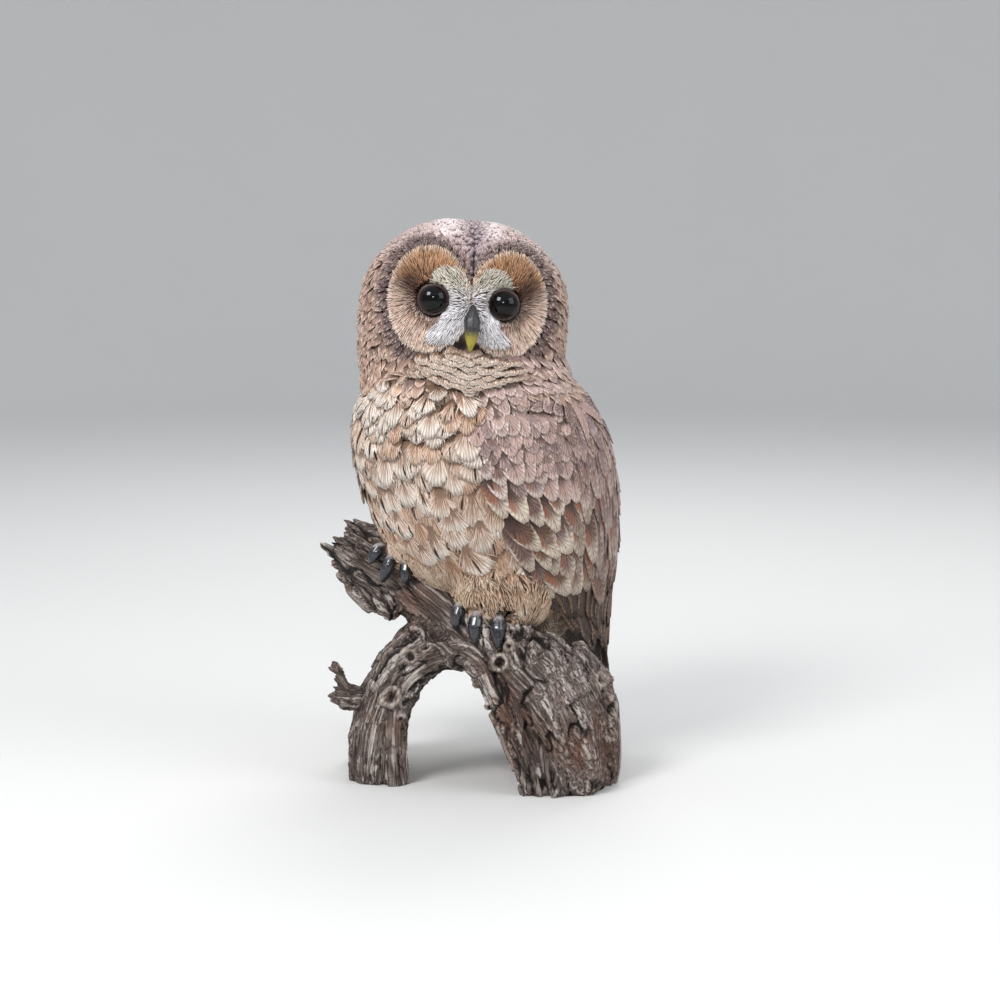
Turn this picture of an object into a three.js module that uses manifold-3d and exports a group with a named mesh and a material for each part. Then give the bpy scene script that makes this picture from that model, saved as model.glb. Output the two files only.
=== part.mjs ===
// A painted cast-resin garden statue: a tawny owl perched on a weathered, arched log.
// Millimetres, +Z up, -Y is the side that the face looks to. The origin is on the ground, under the middle.
import * as THREE from "three";
import { mergeVertices } from "three/addons/utils/BufferGeometryUtils.js";
import Module from "manifold-3d";

const wasm = await Module();
wasm.setup();

// ---- Driving dimensions

const GAP = 0.3; // clearance between neighbouring pieces
const OWL_PLACE = [-18, 0, 0]; // the middle of the two feet, over the ground
const OWL_HEADING = -42; // degrees: the body faces left of the front
const HEAD_CENTRE = [-3.5, 20.5, 337]; // in the owl's own frame
const HEAD_TURN = 46; // degrees: the head turns back to the front, over the left shoulder
const HEAD_TILT = 4.6; // degrees: the left eye is the lower one
const HEAD_FULLNESS = 2.3; // 2 makes round cross-sections, higher is boxier
const NECK_CENTRE = [-4, 19, 289];
const NECK_HALF = [75, 67, 40];
const EYE_RADIUS = 11.5;
const EYE_OFFSET = [24.3, -42, 4.6]; // of each eye from the middle of the head
const DISC_HALF = [27.2, 36.5]; // half width and height of a facial disc
const DISC_OFFSET = [27.6, 4.5];
const DISC_THICKNESS = 4;
const BILL_PLACE = [3, 1.5]; // the middle of the face is a little to the left of the head's
const BILL_LENGTH = 30;
const HEAD_CUT = 293; // height where the head meets the neck
const NECK_CUT = 275; // height where the neck meets the trunk
const WING_THICKNESS = 7;
const WING_CUT = 176; // height where the covert feathers end and the flight feathers begin
const TAIL_THICKNESS = 9;
const WING_ROOM = 25; // how far the hollow for a wing reaches out through the body's side
const SCALLOP_TOP = 235; // height above which a wing's front edge is plain
const NECK_FULLNESS = 2.1;
const FAR = 900; // larger than the whole object
const UP = new THREE.Vector3(0, 0, 1);

const rad = THREE.MathUtils.degToRad;
const vec = (p) => new THREE.Vector3(...p);

// ---- Smooth values and surfaces

// A smooth function through [position, value] pairs, whose ends hold.
function smooth(pairs) {
  const xs = pairs.map((p) => p[0]);
  const ys = pairs.map((p) => p[1]);
  const last = xs.length - 1;
  const slope = xs.map((x, i) => {
    const a = Math.max(i - 1, 0);
    const b = Math.min(i + 1, last);
    return (ys[b] - ys[a]) / (xs[b] - xs[a]);
  });
  return (x) => {
    if (x <= xs[0]) return ys[0];
    if (x >= xs[last]) return ys[last];
    const i = xs.findIndex((end) => end > x) - 1;
    const span = xs[i + 1] - xs[i];
    const t = (x - xs[i]) / span;
    const h = t * t * (3 - 2 * t);
    const bend = slope[i] * (t - 2 * t * t + t ** 3) + slope[i + 1] * (t ** 3 - t * t);
    return ys[i] * (1 - h) + ys[i + 1] * h + span * bend;
  };
}

// A closed surface from rings: place(row, angle) gives the points, and the first and last row are poles.
function rings(rows, columns, place) {
  const geometry = new THREE.SphereGeometry(1, columns, rows);
  const points = geometry.getAttribute("position");
  for (let row = 0; row <= rows; row++)
    for (let column = 0; column <= columns; column++) {
      const angle = ((column % columns) / columns) * 2 * Math.PI;
      const p = place(row, angle);
      points.setXYZ(row * (columns + 1) + column, p.x, p.y, p.z);
    }
  return geometry;
}

// A closed geometry as a solid with its faces pointing out.
function solidOf(geometry) {
  const bare = geometry.clone();
  bare.deleteAttribute("normal");
  bare.deleteAttribute("uv");
  const merged = mergeVertices(bare, 1e-4);
  const corners = [];
  const index = merged.index.array;
  for (let i = 0; i < index.length; i += 3) {
    const [a, b, c] = [index[i], index[i + 1], index[i + 2]];
    if (a !== b && b !== c && c !== a) corners.push(a, b, c);
  }
  const build = (triangles) =>
    new wasm.Manifold(
      new wasm.Mesh({
        numProp: 3,
        vertProperties: new Float32Array(merged.getAttribute("position").array),
        triVerts: new Uint32Array(triangles),
      }),
    );
  const solid = build(corners);
  return solid.volume() < 0 ? build(corners.slice().reverse()) : solid;
}

function geometryOf(solid) {
  const mesh = solid.getMesh();
  const geometry = new THREE.BufferGeometry();
  geometry.setAttribute("position", new THREE.BufferAttribute(mesh.vertProperties.slice(), 3));
  geometry.setIndex(new THREE.BufferAttribute(mesh.triVerts.slice(), 1));
  geometry.computeVertexNormals();
  return geometry;
}

const union = (solids) => solids.reduce((whole, solid) => whole.add(solid));
const without = (solid, cutters) => cutters.reduce((left, cutter) => left.subtract(cutter), solid);

// The half of space on the side of a plane that its normal points to.
function halfSpace(point, normal) {
  const direction = vec(normal).normalize();
  const box = new THREE.BoxGeometry(FAR, FAR, FAR).translate(0, 0, FAR / 2);
  box.applyQuaternion(new THREE.Quaternion().setFromUnitVectors(UP, direction));
  return solidOf(box.translate(...point));
}

// A superellipsoid.
function roundBlock(centre, half, fullness, columns, rows) {
  return rings(rows, columns, (row, angle) => {
    const lift = (row / rows) * Math.PI;
    const d = vec([Math.sin(angle) * Math.sin(lift), -Math.cos(angle) * Math.sin(lift), Math.cos(lift)]);
    const size = d.toArray().reduce((sum, c) => sum + Math.abs(c) ** fullness, 0) ** (-1 / fullness);
    return d.multiplyScalar(size).multiply(vec(half)).add(vec(centre));
  });
}

// A branch, toe or claw: rings along a curve through [x, y, z, radius] knots, with knobbly sides.
function limb(knots, { sides, steps, knobs = 0, turn = 0, flat = 1, blunt = false, grow = 0 }) {
  const curve = new THREE.CatmullRomCurve3(knots.map((k) => vec(k.slice(0, 3))));
  const frames = curve.computeFrenetFrames(steps, false);
  const lengths = knots.map((k, i) => i / (knots.length - 1));
  const radius = smooth(knots.map((k, i) => [lengths[i], k[3]]));
  const rows = steps + 2; // a pole at each end closes it
  return rings(rows, sides, (row, angle) => {
    const step = Math.min(Math.max(row - 1, 0), steps);
    const along = step / steps;
    const pole = row === 0 || row === rows;
    const lobes = Math.sin(3 * angle + turn + 5 * along) + 0.6 * Math.sin(5 * angle - 2 * turn);
    const rounding = step === 0 || step === steps ? 0.82 : 1;
    const reach = pole ? 0 : (radius(along) * (1 + knobs * lobes) + grow) * rounding;
    const tip = pole ? (blunt ? 0 : 0.35 * radius(along)) + grow : 0;
    const outward = frames.tangents[step].clone().multiplyScalar(row === 0 ? -tip : tip);
    return curve
      .getPointAt(along)
      .add(frames.normals[step].clone().multiplyScalar(reach * Math.cos(angle)))
      .add(frames.binormals[step].clone().multiplyScalar(reach * flat * Math.sin(angle)))
      .add(outward);
  });
}

// ---- The log, in the statue's frame

const BEAM = [
  [-97, 60, 160, 23],
  [-70, 48, 147, 25],
  [-41, 33, 132.5, 26],
  [-13, 12, 116.5, 28],
  [15.6, -11, 98, 29],
  [50, -31, 71, 32],
  [62, -38, 55, 31],
];

function logLimbs(grow = 0) {
  const round = { sides: 7, knobs: 0.05, grow };
  return [
    limb(BEAM, { ...round, sides: 10, steps: 9, blunt: true }),
    limb([[44, -28, 75, 29], [60, -34, 42, 30], [67, -33, -8, 30]],
      { ...round, sides: 9, steps: 5, turn: 1 }),
    limb([[58, -10, 80, 24], [74, -4, 40, 23], [78, 0, -8, 25]], { ...round, steps: 4, turn: 2 }),
    limb([[52, -2, 82, 22], [72, 24, 36, 20], [78, 42, -8, 22]], { ...round, steps: 5, turn: 3 }),
    limb([[66, -14, 90, 15], [83, -18, 62, 15], [89, -20, 28, 14], [86, -20, -8, 14]],
      { sides: 7, steps: 5, knobs: 0.08, grow }),
    limb([[-20, 0, 100, 22], [-50, -10, 82, 21], [-66, -14, 52, 18], [-71, -12, 18, 18], [-71, -12, -8, 20]],
      { ...round, sides: 8, steps: 7, turn: 4 }),
    limb([[-30, 12, 104, 20], [-58, 8, 62, 19], [-72, 10, 30, 18], [-73, 10, -8, 20]],
      { ...round, steps: 5, turn: 5 }),
    limb([[-28, 26, 106, 20], [-52, 32, 70, 19], [-72, 40, 38, 18], [-76, 44, -8, 20]],
      { ...round, steps: 5, turn: 6 }),
    limb([[-57, -22, -8, 11], [-57, -23, 45, 10], [-50, -24, 72, 10], [-34, -25, 88, 11], [-12, -28, 95, 11],
      [6, -35, 88, 11], [19, -42, 70, 12], [28, -48, 47, 12], [38, -50, 24, 12], [46, -50, -8, 13]],
      { sides: 6, steps: 11, knobs: 0.06, grow }),
    limb([[-98, 46, 141, 5], [-86, 37, 132, 9], [-56, 7, 116, 8]], { sides: 6, steps: 3, knobs: 0.1, grow }),
    limb([[-84, 50, 146, 12], [-98, 50, 153, 8], [-109, 50, 158, 3]], { sides: 6, steps: 2, grow }),
    limb([[-70, -14, 58, 10], [-88, -15, 60, 9], [-101, -15, 64, 9]],
      { sides: 8, steps: 3, knobs: 0.1, blunt: true, grow }),
    limb([[-90, -15, 64, 6], [-97, -15, 76, 4], [-101, -15, 86, 2.5]], { sides: 5, steps: 2, grow }),
  ];
}

// Short sawn twigs that stand on the log: [foot, tip, radius].
const TWIGS = {
  twig_stub_right: [[64, -12, 83], [75, -15, 96], 5],
  twig_stub_shoulder: [[80, -17, 65], [95, -16, 76], 6],
};

// Ring-shaped knots on the front: [centre, outward direction, ring radius].
const KNOTS = {
  knot_front: [[18, -45.5, 92.5], [0.05, -0.95, 0.3], 6],
  knot_left_leg: [[-57.5, -33.5, 65], [0, -1, 0.1], 6.5],
};

function twig([foot, tip, radius], grow = 0) {
  const middle = vec(foot).lerp(vec(tip), 0.5).toArray();
  const knots = [[...foot, radius * 1.15], [...middle, radius], [...tip, radius]];
  return solidOf(limb(knots, { sides: 6, steps: 1, blunt: true, grow }));
}

// A knot is a raised ring with a pit in the middle, about its outward axis. A socket for it has no pit.
function knot([centre, outward, radius], grow = 0) {
  const pit = grow === 0 ? -3 : 3;
  const profile = [
    [0, -6 - grow],
    [radius + 2 + grow, -6 - grow],
    [radius + 2 + grow, 0.5 + grow],
    [radius, 2.4 + grow],
    [radius * 0.62, 1.6 + grow],
    [radius * 0.4, pit],
    [0, pit - 0.5],
  ].map(([r, h]) => new THREE.Vector2(r, h));
  const lathe = new THREE.LatheGeometry(profile, 9);
  lathe.rotateX(Math.PI / 2);
  lathe.applyQuaternion(new THREE.Quaternion().setFromUnitVectors(UP, vec(outward).normalize()));
  return solidOf(lathe.translate(...centre));
}

// ---- The owl, in its own frame: -Y forward, +X to its left, and the same height as the statue's

// Height, front, back and half width of the whole bird's outline below the neck.
const OUTLINE = [
  [66, 84, 150, 40],
  [84, 40, 148, 50],
  [100, 22, 146, 57],
  [118, 4, 143, 64],
  [140, -13, 139, 74],
  [172, -33, 136, 83],
  [205, -47, 132, 88],
  [236, -55, 124, 90],
  [262, -54, 110, 86],
  [282, -47, 96, 76],
  [300, -34, 80, 62],
];
const frontAt = smooth(OUTLINE.map((s) => [s[0], s[1]]));
const backAt = smooth(OUTLINE.map((s) => [s[0], s[2]]));
const halfAt = smooth(OUTLINE.map((s) => [s[0], s[3]]));

// The point of the outline at a height, and at an angle from the breast round to the left side and the back.
function skinPoint(height, angle, inset = 0) {
  const middle = (frontAt(height) + backAt(height)) / 2;
  const depth = (backAt(height) - frontAt(height)) / 2 - inset;
  return vec([(halfAt(height) - inset) * Math.sin(angle), middle - depth * Math.cos(angle), height]);
}

// The body without wings is closed off above the log and inside the head.
const TRUNK_TOP = 300;
const TRUNK_BOTTOM = 80;
const bellyTaper = smooth([[80, 0.25], [90, 0.58], [104, 0.78], [125, 0.92], [150, 1]]);
const rumpInset = smooth([[80, 34], [120, 24], [170, 8], [210, 0]]);
const THIGHS = [
  [[33, 21, 139], [37, 37, 35]],
  [[-30, 13, 161], [32, 33, 30]],
];

function bodyBarrel() {
  const rows = 13;
  const barrel = rings(rows, 22, (row, angle) => {
    const t = Math.min(Math.max((row - 1) / (rows - 2), 0), 1);
    const height = TRUNK_TOP + (TRUNK_BOTTOM - TRUNK_TOP) * t;
    const pole = row === 0 || row === rows;
    const side = skinPoint(height, angle);
    side.y = Math.min(side.y, backAt(height) - rumpInset(height));
    const middle = vec([0, (frontAt(height) + backAt(height) - rumpInset(height)) / 2, height]);
    const point = middle.clone().lerp(side, pole ? 0 : bellyTaper(height));
    return row === rows ? point.setZ(height - 3) : point;
  });
  return solidOf(barrel);
}

// Height, front edge and back edge of a folded wing, as degrees round from the breast.
const WING_EDGES = [
  [81, 132, 156],
  [92, 112, 167],
  [100, 97, 170],
  [115, 83, 174],
  [129, 73, 175],
  [150, 60, 176],
  [168, 54, 176],
  [193, 49, 176],
  [207, 46, 175],
  [228, 43, 174],
  [250, 40, 172],
  [262, 42, 168],
  [270, 56, 154],
  [273, 82, 128],
];
const wingFront = smooth(WING_EDGES.map((e) => [e[0], rad(e[1])]));
const wingBack = smooth(WING_EDGES.map((e) => [e[0], rad(e[2])]));
const SCALLOP = 0.07; // radians that each covert feather's tip stands past the next one's root

// A folded wing lies on the body as a shell whose front edge steps from feather tip to feather tip. With room
// outside it, it is the hollow that the wing lies in.
function wingBlank(side, grow = 0, room = 0) {
  const rows = 15;
  const top = WING_EDGES.at(-1)[0];
  const tip = WING_EDGES[0][0];
  return solidOf(
    rings(rows, 10, (row, angle) => {
      const t = Math.min(Math.max((row - 1) / (rows - 2), 0), 1);
      const pole = row === 0 || row === rows;
      const across = pole ? 0.5 : (1 - Math.cos(angle)) / 2;
      const height = top + grow + (tip - top - 2 * grow) * t;
      const step = height > SCALLOP_TOP ? 0 : SCALLOP * (row % 2) * (1 - across) ** 2;
      const front = wingFront(height) - grow / 80;
      const back = wingBack(height) + grow / 80;
      const turn = front + (back - front) * across + step;
      const lift = pole ? 0 : Math.sign(Math.sin(angle)) * Math.abs(Math.sin(angle)) ** 0.55;
      const taper = Math.sqrt(Math.min(1, 0.1 + 6 * t, 0.1 + 6 * (1 - t)));
      const half = (WING_THICKNESS / 2) * taper + grow;
      const inset = WING_THICKNESS / 2 - 1.5 - lift * half - room * Math.max(lift, 0);
      const point = skinPoint(height, turn, inset);
      point.x *= side;
      return point;
    }),
  );
}

// Height, distance back and half width of the tail.
const TAIL = [
  [54, 143, 10],
  [60, 142, 24],
  [74, 139, 31],
  [110, 130, 30],
  [150, 117, 25],
  [178, 106, 20],
];
const tailBack = smooth(TAIL.map((s) => [s[0], s[1]]));
const tailHalf = smooth(TAIL.map((s) => [s[0], s[2]]));

function tailBlank(grow = 0) {
  const rows = 9;
  return solidOf(
    rings(rows, 10, (row, angle) => {
      const t = Math.min(Math.max((row - 1) / (rows - 2), 0), 1);
      const height = TAIL.at(-1)[0] + grow + (TAIL[0][0] - TAIL.at(-1)[0] - 2 * grow) * t;
      const pole = row === 0 || row === rows ? 0 : 1;
      const bow = -0.006 * pole * (tailHalf(height) * Math.sin(angle)) ** 2;
      return vec([
        pole * (tailHalf(height) + grow) * Math.sin(angle),
        tailBack(height) + bow - pole * (TAIL_THICKNESS / 2 + grow) * Math.cos(angle),
        height,
      ]);
    }),
  );
}

// The forward toes curl over the beam. Each talon's root and tip: [distance along the beam, degrees up from
// the beam's front].
const FEET = {
  right: [
    [[40, 46], [39, 22]],
    [[53, 42], [55, 8]],
    [[66, 46], [77, 22]],
  ],
  left: [
    [[125, 42], [132, 14]],
    [[138, 46], [148, 16]],
    [[149, 60], [161, 32]],
  ],
};
const TOE_RUN = 62; // degrees that a toe covers behind its talon
const beamCurve = new THREE.CatmullRomCurve3(BEAM.map((k) => vec(k.slice(0, 3))));
const owlFront = vec([Math.sin(rad(OWL_HEADING)), -Math.cos(rad(OWL_HEADING)), 0]);

// A point at a distance along the beam, an angle up from its front, and a distance off its centre line.
function overBeam(distance, degrees, off) {
  const place = distance / beamCurve.getLength();
  const tangent = beamCurve.getTangentAt(place);
  const front = owlFront.clone().addScaledVector(tangent, -owlFront.dot(tangent)).normalize();
  const up = new THREE.Vector3().crossVectors(tangent, front).normalize();
  if (up.z < 0) up.negate();
  return beamCurve
    .getPointAt(place)
    .addScaledVector(front, off * Math.cos(rad(degrees)))
    .addScaledVector(up, off * Math.sin(rad(degrees)))
    .toArray();
}

function toe([[distance, degrees]], grow = 0) {
  const path = [[TOE_RUN, 33, 6], [40, 35, 6.6], [18, 34.5, 6.3], [-4, 33.5, 5.6]];
  const knots = path.map(([back, off, radius]) => [...overBeam(distance, degrees + back, off), radius]);
  return solidOf(limb(knots, { sides: 7, steps: 4, grow }));
}

function talon([root, tip], grow = 0) {
  const path = [[-0.1, 33, 4.6], [0.15, 34.5, 5.4], [0.6, 34, 4.8], [1, 31, 2]];
  const knots = path.map(([part, off, radius]) => {
    const [distance, degrees] = root.map((value, i) => value + part * (tip[i] - value));
    return [...overBeam(distance, degrees, off), radius];
  });
  return solidOf(limb(knots, { sides: 7, steps: 4, grow }));
}

// ---- The head, in its own frame about its middle

// The face is drawn in to a shallow dish round each eye, with a ridge between them.
function faceDish(x, z) {
  const dish = (side) => {
    const u = (x - side * DISC_OFFSET[0]) / DISC_HALF[0];
    const v = (z - DISC_OFFSET[1]) / DISC_HALF[1];
    return Math.exp(-1.3 * (u * u + v * v));
  };
  const ridge = Math.exp(-((x / 7) ** 2)) * Math.exp(-(((z - 8) / 30) ** 2));
  return 7 * (dish(1) + dish(-1)) - 3 * ridge;
}

// Height from the middle of the head, half width, reach forward and reach back.
const HEAD = [
  [-56, 68, 44, 50],
  [-39, 71.5, 50, 57],
  [-24, 72.5, 53, 61],
  [-9, 73, 53, 64],
  [6, 72, 53, 65],
  [21, 68, 53, 63],
  [37, 59, 50, 57],
  [46, 50, 44, 49],
  [54.5, 37, 34, 38],
  [60, 20, 19, 21],
];
const headHalf = smooth(HEAD.map((s) => [s[0], s[1]]));
const headFront = smooth(HEAD.map((s) => [s[0], s[2]]));
const headBack = smooth(HEAD.map((s) => [s[0], s[3]]));

function headBlank(back = 0) {
  const rows = 14;
  const [bottom, top] = [HEAD[0][0], HEAD.at(-1)[0]];
  return solidOf(
    rings(rows, 26, (row, angle) => {
      const t = Math.min(Math.max((row - 1) / (rows - 2), 0), 1);
      const fall = 0.3 * (1 - t) + 0.35 * (1 + Math.cos(Math.PI * t)); // rows crowd together at both ends
      const height = bottom + (top - bottom) * fall;
      if (row === 0) return vec([0, back, top + 1]);
      if (row === rows) return vec([0, back, bottom]);
      const [across, ahead] = [Math.sin(angle), Math.cos(angle)];
      const spread = Math.abs(across) ** HEAD_FULLNESS + Math.abs(ahead) ** HEAD_FULLNESS;
      const size = spread ** (-1 / HEAD_FULLNESS);
      const reach = ahead > 0 ? headFront(height) : headBack(height);
      const point = vec([headHalf(height) * across * size, -reach * ahead * size, height]);
      const facing = THREE.MathUtils.smoothstep(-point.y, 10, 45);
      point.y += facing * faceDish(point.x, point.z) + back;
      return point;
    }),
  );
}

// An upright oval prism through the face, where a facial disc lies.
function discPrism(side, grow = 0) {
  const outline = new THREE.Shape();
  outline.absellipse(0, 0, DISC_HALF[0] + grow, DISC_HALF[1] + grow, 0, 2 * Math.PI);
  const prism = new THREE.ExtrudeGeometry(outline, { depth: 60, bevelEnabled: false, curveSegments: 7 });
  prism.rotateX(Math.PI / 2);
  return solidOf(prism.translate(side * DISC_OFFSET[0], -30, DISC_OFFSET[1]));
}

function eyeBall(side, grow = 0) {
  const [x, y, z] = EYE_OFFSET;
  const ball = new THREE.SphereGeometry(EYE_RADIUS + grow, 12, 8).rotateX(Math.PI / 2);
  return solidOf(ball.translate(side * x, y, z));
}

function billHorn(grow = 0) {
  const [x, top] = BILL_PLACE;
  const knots = [
    [x, -52, top, 4.4],
    [x, -57.5, top - 0.3 * BILL_LENGTH, 5.2],
    [x, -60, top - 0.65 * BILL_LENGTH, 4.2],
    [x, -58.5, top - BILL_LENGTH, 1.1],
  ];
  return solidOf(limb(knots, { sides: 8, steps: 6, flat: 1.15, grow }));
}

// ---- Materials

const paint = (color, roughness) => new THREE.MeshStandardMaterial({ color, roughness, metalness: 0 });
const MATERIALS = {
  plumage: paint(0x9c7a66, 0.72),
  breast: paint(0xc9a67c, 0.74),
  wing: paint(0x8a6557, 0.7),
  tail: paint(0x4a3830, 0.7),
  face: paint(0xc79a78, 0.72),
  eye: paint(0x080606, 0.06),
  bill: paint(0x6c6a3a, 0.4),
  talon: paint(0x16161a, 0.3),
  wood: paint(0x766355, 0.82),
};

const statue = new THREE.Group();
const owl = new THREE.Group();
const head = new THREE.Group();
const log = new THREE.Group();
statue.add(log, owl);
owl.add(head);
owl.position.set(...OWL_PLACE);
owl.rotation.z = rad(OWL_HEADING);
head.position.set(...HEAD_CENTRE);
head.rotation.set(0, rad(HEAD_TILT), rad(HEAD_TURN), "ZYX");
statue.updateMatrixWorld(true);

function addPiece(group, name, material, solid) {
  const mesh = new THREE.Mesh(geometryOf(solid), MATERIALS[material]);
  mesh.name = name;
  group.add(mesh);
}

// A solid made in one group's frame, as seen from another's.
function moved(solid, from, to) {
  const matrix = to.matrixWorld.clone().invert().multiply(from.matrixWorld);
  return solidOf(geometryOf(solid).applyMatrix4(matrix));
}

// ---- Building the log, parted by thin cuts

const ground = halfSpace([0, 0, 0], [0, 0, 1]);
const logWhole = union(logLimbs().map(solidOf)).intersect(ground);
const logFittings = [
  ...Object.values(TWIGS).map((t) => twig(t, GAP)),
  ...Object.values(KNOTS).map((k) => knot(k, GAP)),
];
const logBare = without(logWhole, logFittings);

// Each cut is a plane that faces the part cut off: [name, point, normal].
const LOG_CUTS = [
  ["log_branch_end", [-72, 49, 148], [-0.85, 0.36, 0.38]],
  ["log_right_leg", [50, -30, 66], [0.6, 0, -0.8]],
  ["log_left_leg", [-42, 4, 82], [-0.62, 0, -0.78]],
];
let logRest = logBare;
for (const [name, point, normal] of LOG_CUTS) {
  const away = vec(normal).normalize().multiplyScalar(GAP);
  addPiece(log, name, "wood", logRest.intersect(halfSpace(vec(point).add(away).toArray(), normal)));
  logRest = logRest.subtract(halfSpace(point, normal));
}
addPiece(log, "log_beam", "wood", logRest);
for (const [name, sizes] of Object.entries(TWIGS)) addPiece(log, name, "wood", twig(sizes));
for (const [name, sizes] of Object.entries(KNOTS)) addPiece(log, name, "wood", knot(sizes));

// ---- Building the owl

const above = (height) => halfSpace([0, 0, height], [0, 0, 1]);
const below = (height) => halfSpace([0, 0, height], [0, 0, -1]);
const largest = (solid) => solid.decompose().sort((a, b) => b.volume() - a.volume())[0];

const talons = Object.values(FEET).flat();
const toesGrown = union(talons.map((t) => toe(t, GAP)));
const talonsGrown = union(talons.map((t) => talon(t, GAP)));
const logGrown = union(logLimbs(GAP).map(solidOf)).intersect(ground);
for (const [name, foot] of Object.entries(FEET)) {
  const bases = union(foot.map((t) => toe(t)));
  addPiece(log, `toes_${name}`, "breast", largest(without(bases, [logGrown, talonsGrown])));
  foot.forEach((t, i) => {
    addPiece(log, `talon_${name}_${i + 1}`, "talon", largest(talon(t).subtract(logGrown)));
  });
}

const headWhole = headBlank();
const SIDES = { left: 1, right: -1 };
const both = (make) => union(Object.values(SIDES).map(make));
const headFittings = [both((side) => eyeBall(side, GAP)), billHorn(GAP)];
const discPockets = both((side) => discPrism(side, GAP)).subtract(headBlank(DISC_THICKNESS + GAP));
const headTop = moved(above(HEAD_CUT), owl, head);
const skull = without(headWhole.intersect(headTop), [...headFittings, discPockets]);
addPiece(head, "head", "plumage", largest(skull));
addPiece(head, "bill", "bill", billHorn());
for (const [name, side] of Object.entries(SIDES)) {
  const disc = without(headWhole.intersect(discPrism(side)), [headBlank(DISC_THICKNESS), ...headFittings]);
  addPiece(head, `face_disc_${name}`, "face", largest(disc));
  addPiece(head, `eye_${name}`, "eye", eyeBall(side));
}

const held = [moved(logGrown, log, owl), moved(toesGrown, log, owl), moved(talonsGrown, log, owl)];
const tail = largest(without(tailBlank(), held));
const wingHollows = both((side) => wingBlank(side, GAP, WING_ROOM));
const barrel = bodyBarrel();
const neck = barrel.add(solidOf(roundBlock(NECK_CENTRE, NECK_HALF, NECK_FULLNESS, 22, 12)));
addPiece(owl, "neck", "plumage", neck.intersect(above(NECK_CUT)).intersect(below(HEAD_CUT - GAP)));
const thighs = THIGHS.map(([centre, half]) => solidOf(roundBlock(centre, half, 2, 11, 7)));
const trunk = union([neck, ...thighs]).intersect(below(NECK_CUT - GAP));
addPiece(owl, "trunk", "breast", largest(without(trunk, [wingHollows, tailBlank(GAP), ...held])));
addPiece(owl, "tail", "tail", tail);
for (const [name, side] of Object.entries(SIDES)) {
  const wing = without(wingBlank(side), [tailBlank(GAP), ...held]);
  addPiece(owl, `wing_coverts_${name}`, "wing", largest(wing.intersect(above(WING_CUT))));
  addPiece(owl, `wing_flight_${name}`, "wing", largest(wing.intersect(below(WING_CUT - GAP))));
}

// The origin goes under the middle of the whole piece.
const middle = new THREE.Box3().setFromObject(statue, true).getCenter(new THREE.Vector3());
statue.position.set(-middle.x, -middle.y, 0);
const part = new THREE.Group();
part.add(statue);

export default part;
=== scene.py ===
import math
import bmesh
import bpy
import numpy as np
from mathutils import Matrix, Vector
from mathutils.bvhtree import BVHTree
from mathutils.kdtree import KDTree


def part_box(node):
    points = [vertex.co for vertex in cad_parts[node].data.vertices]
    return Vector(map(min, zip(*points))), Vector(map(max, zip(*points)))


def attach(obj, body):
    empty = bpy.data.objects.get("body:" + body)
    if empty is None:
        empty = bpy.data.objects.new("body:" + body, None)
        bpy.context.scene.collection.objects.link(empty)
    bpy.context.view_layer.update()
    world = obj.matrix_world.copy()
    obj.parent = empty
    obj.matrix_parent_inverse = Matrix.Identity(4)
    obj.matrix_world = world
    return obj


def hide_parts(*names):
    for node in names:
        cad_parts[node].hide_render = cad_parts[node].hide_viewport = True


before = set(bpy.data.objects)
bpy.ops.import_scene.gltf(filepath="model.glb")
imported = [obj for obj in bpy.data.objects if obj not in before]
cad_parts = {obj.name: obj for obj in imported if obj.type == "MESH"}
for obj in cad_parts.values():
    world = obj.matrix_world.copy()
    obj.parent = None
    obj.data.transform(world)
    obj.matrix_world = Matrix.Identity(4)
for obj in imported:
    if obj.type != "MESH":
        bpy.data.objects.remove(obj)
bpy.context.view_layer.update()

scene = bpy.context.scene
print("frame loaded,", len(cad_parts), "nodes")

# The view, and the lights of a small studio.
view = {"from": (0.0226, -1.6856, 0.4327), "to": (0.0226, -0.0299, 0.200), "lens": 85, "sensor": 36}
studio = {
    "floor": (0.70, 0.69, 0.67),
    "sky": (0.88, 0.93, 1.0),
    "skyStrength": 0.72,
    "lamps": [  # place, size, watts, colour
        ((-0.75, -1.05, 1.35), 0.6, 21.0, (0.99, 0.99, 1.0)),
        ((1.25, -0.65, 0.9), 0.9, 7.0, (0.95, 0.97, 1.0)),
        ((0.25, 1.1, 1.5), 0.9, 12.0, (1.0, 1.0, 1.0)),
        ((0.02, -1.62, 0.82), 0.14, 3.0, (1.0, 1.0, 1.0)),
    ],
}


def addCamera():
    data = bpy.data.cameras.new("camera")
    data.lens = view["lens"]
    data.sensor_width = view["sensor"]
    camera = bpy.data.objects.new("camera", data)
    camera.location = view["from"]
    camera.rotation_euler = (Vector(view["to"]) - Vector(view["from"])).to_track_quat("-Z", "Y").to_euler()
    scene.collection.objects.link(camera)
    scene.camera = camera


def addStudio():
    for i, (place, size, watts, colour) in enumerate(studio["lamps"]):
        data = bpy.data.lights.new(f"softbox{i}", "AREA")
        data.size = size
        data.energy = watts
        data.color = colour
        lamp = bpy.data.objects.new(data.name, data)
        lamp.location = place
        lamp.rotation_euler = (Vector((0, 0, 0.2)) - Vector(place)).to_track_quat("-Z", "Y").to_euler()
        scene.collection.objects.link(lamp)
    world = bpy.data.worlds.new("sky")
    scene.world = world
    world.use_nodes = True
    back = world.node_tree.nodes["Background"]
    back.inputs["Color"].default_value = (*studio["sky"], 1)
    back.inputs["Strength"].default_value = studio["skyStrength"]
    scene.view_settings.view_transform = "Standard"


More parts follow.
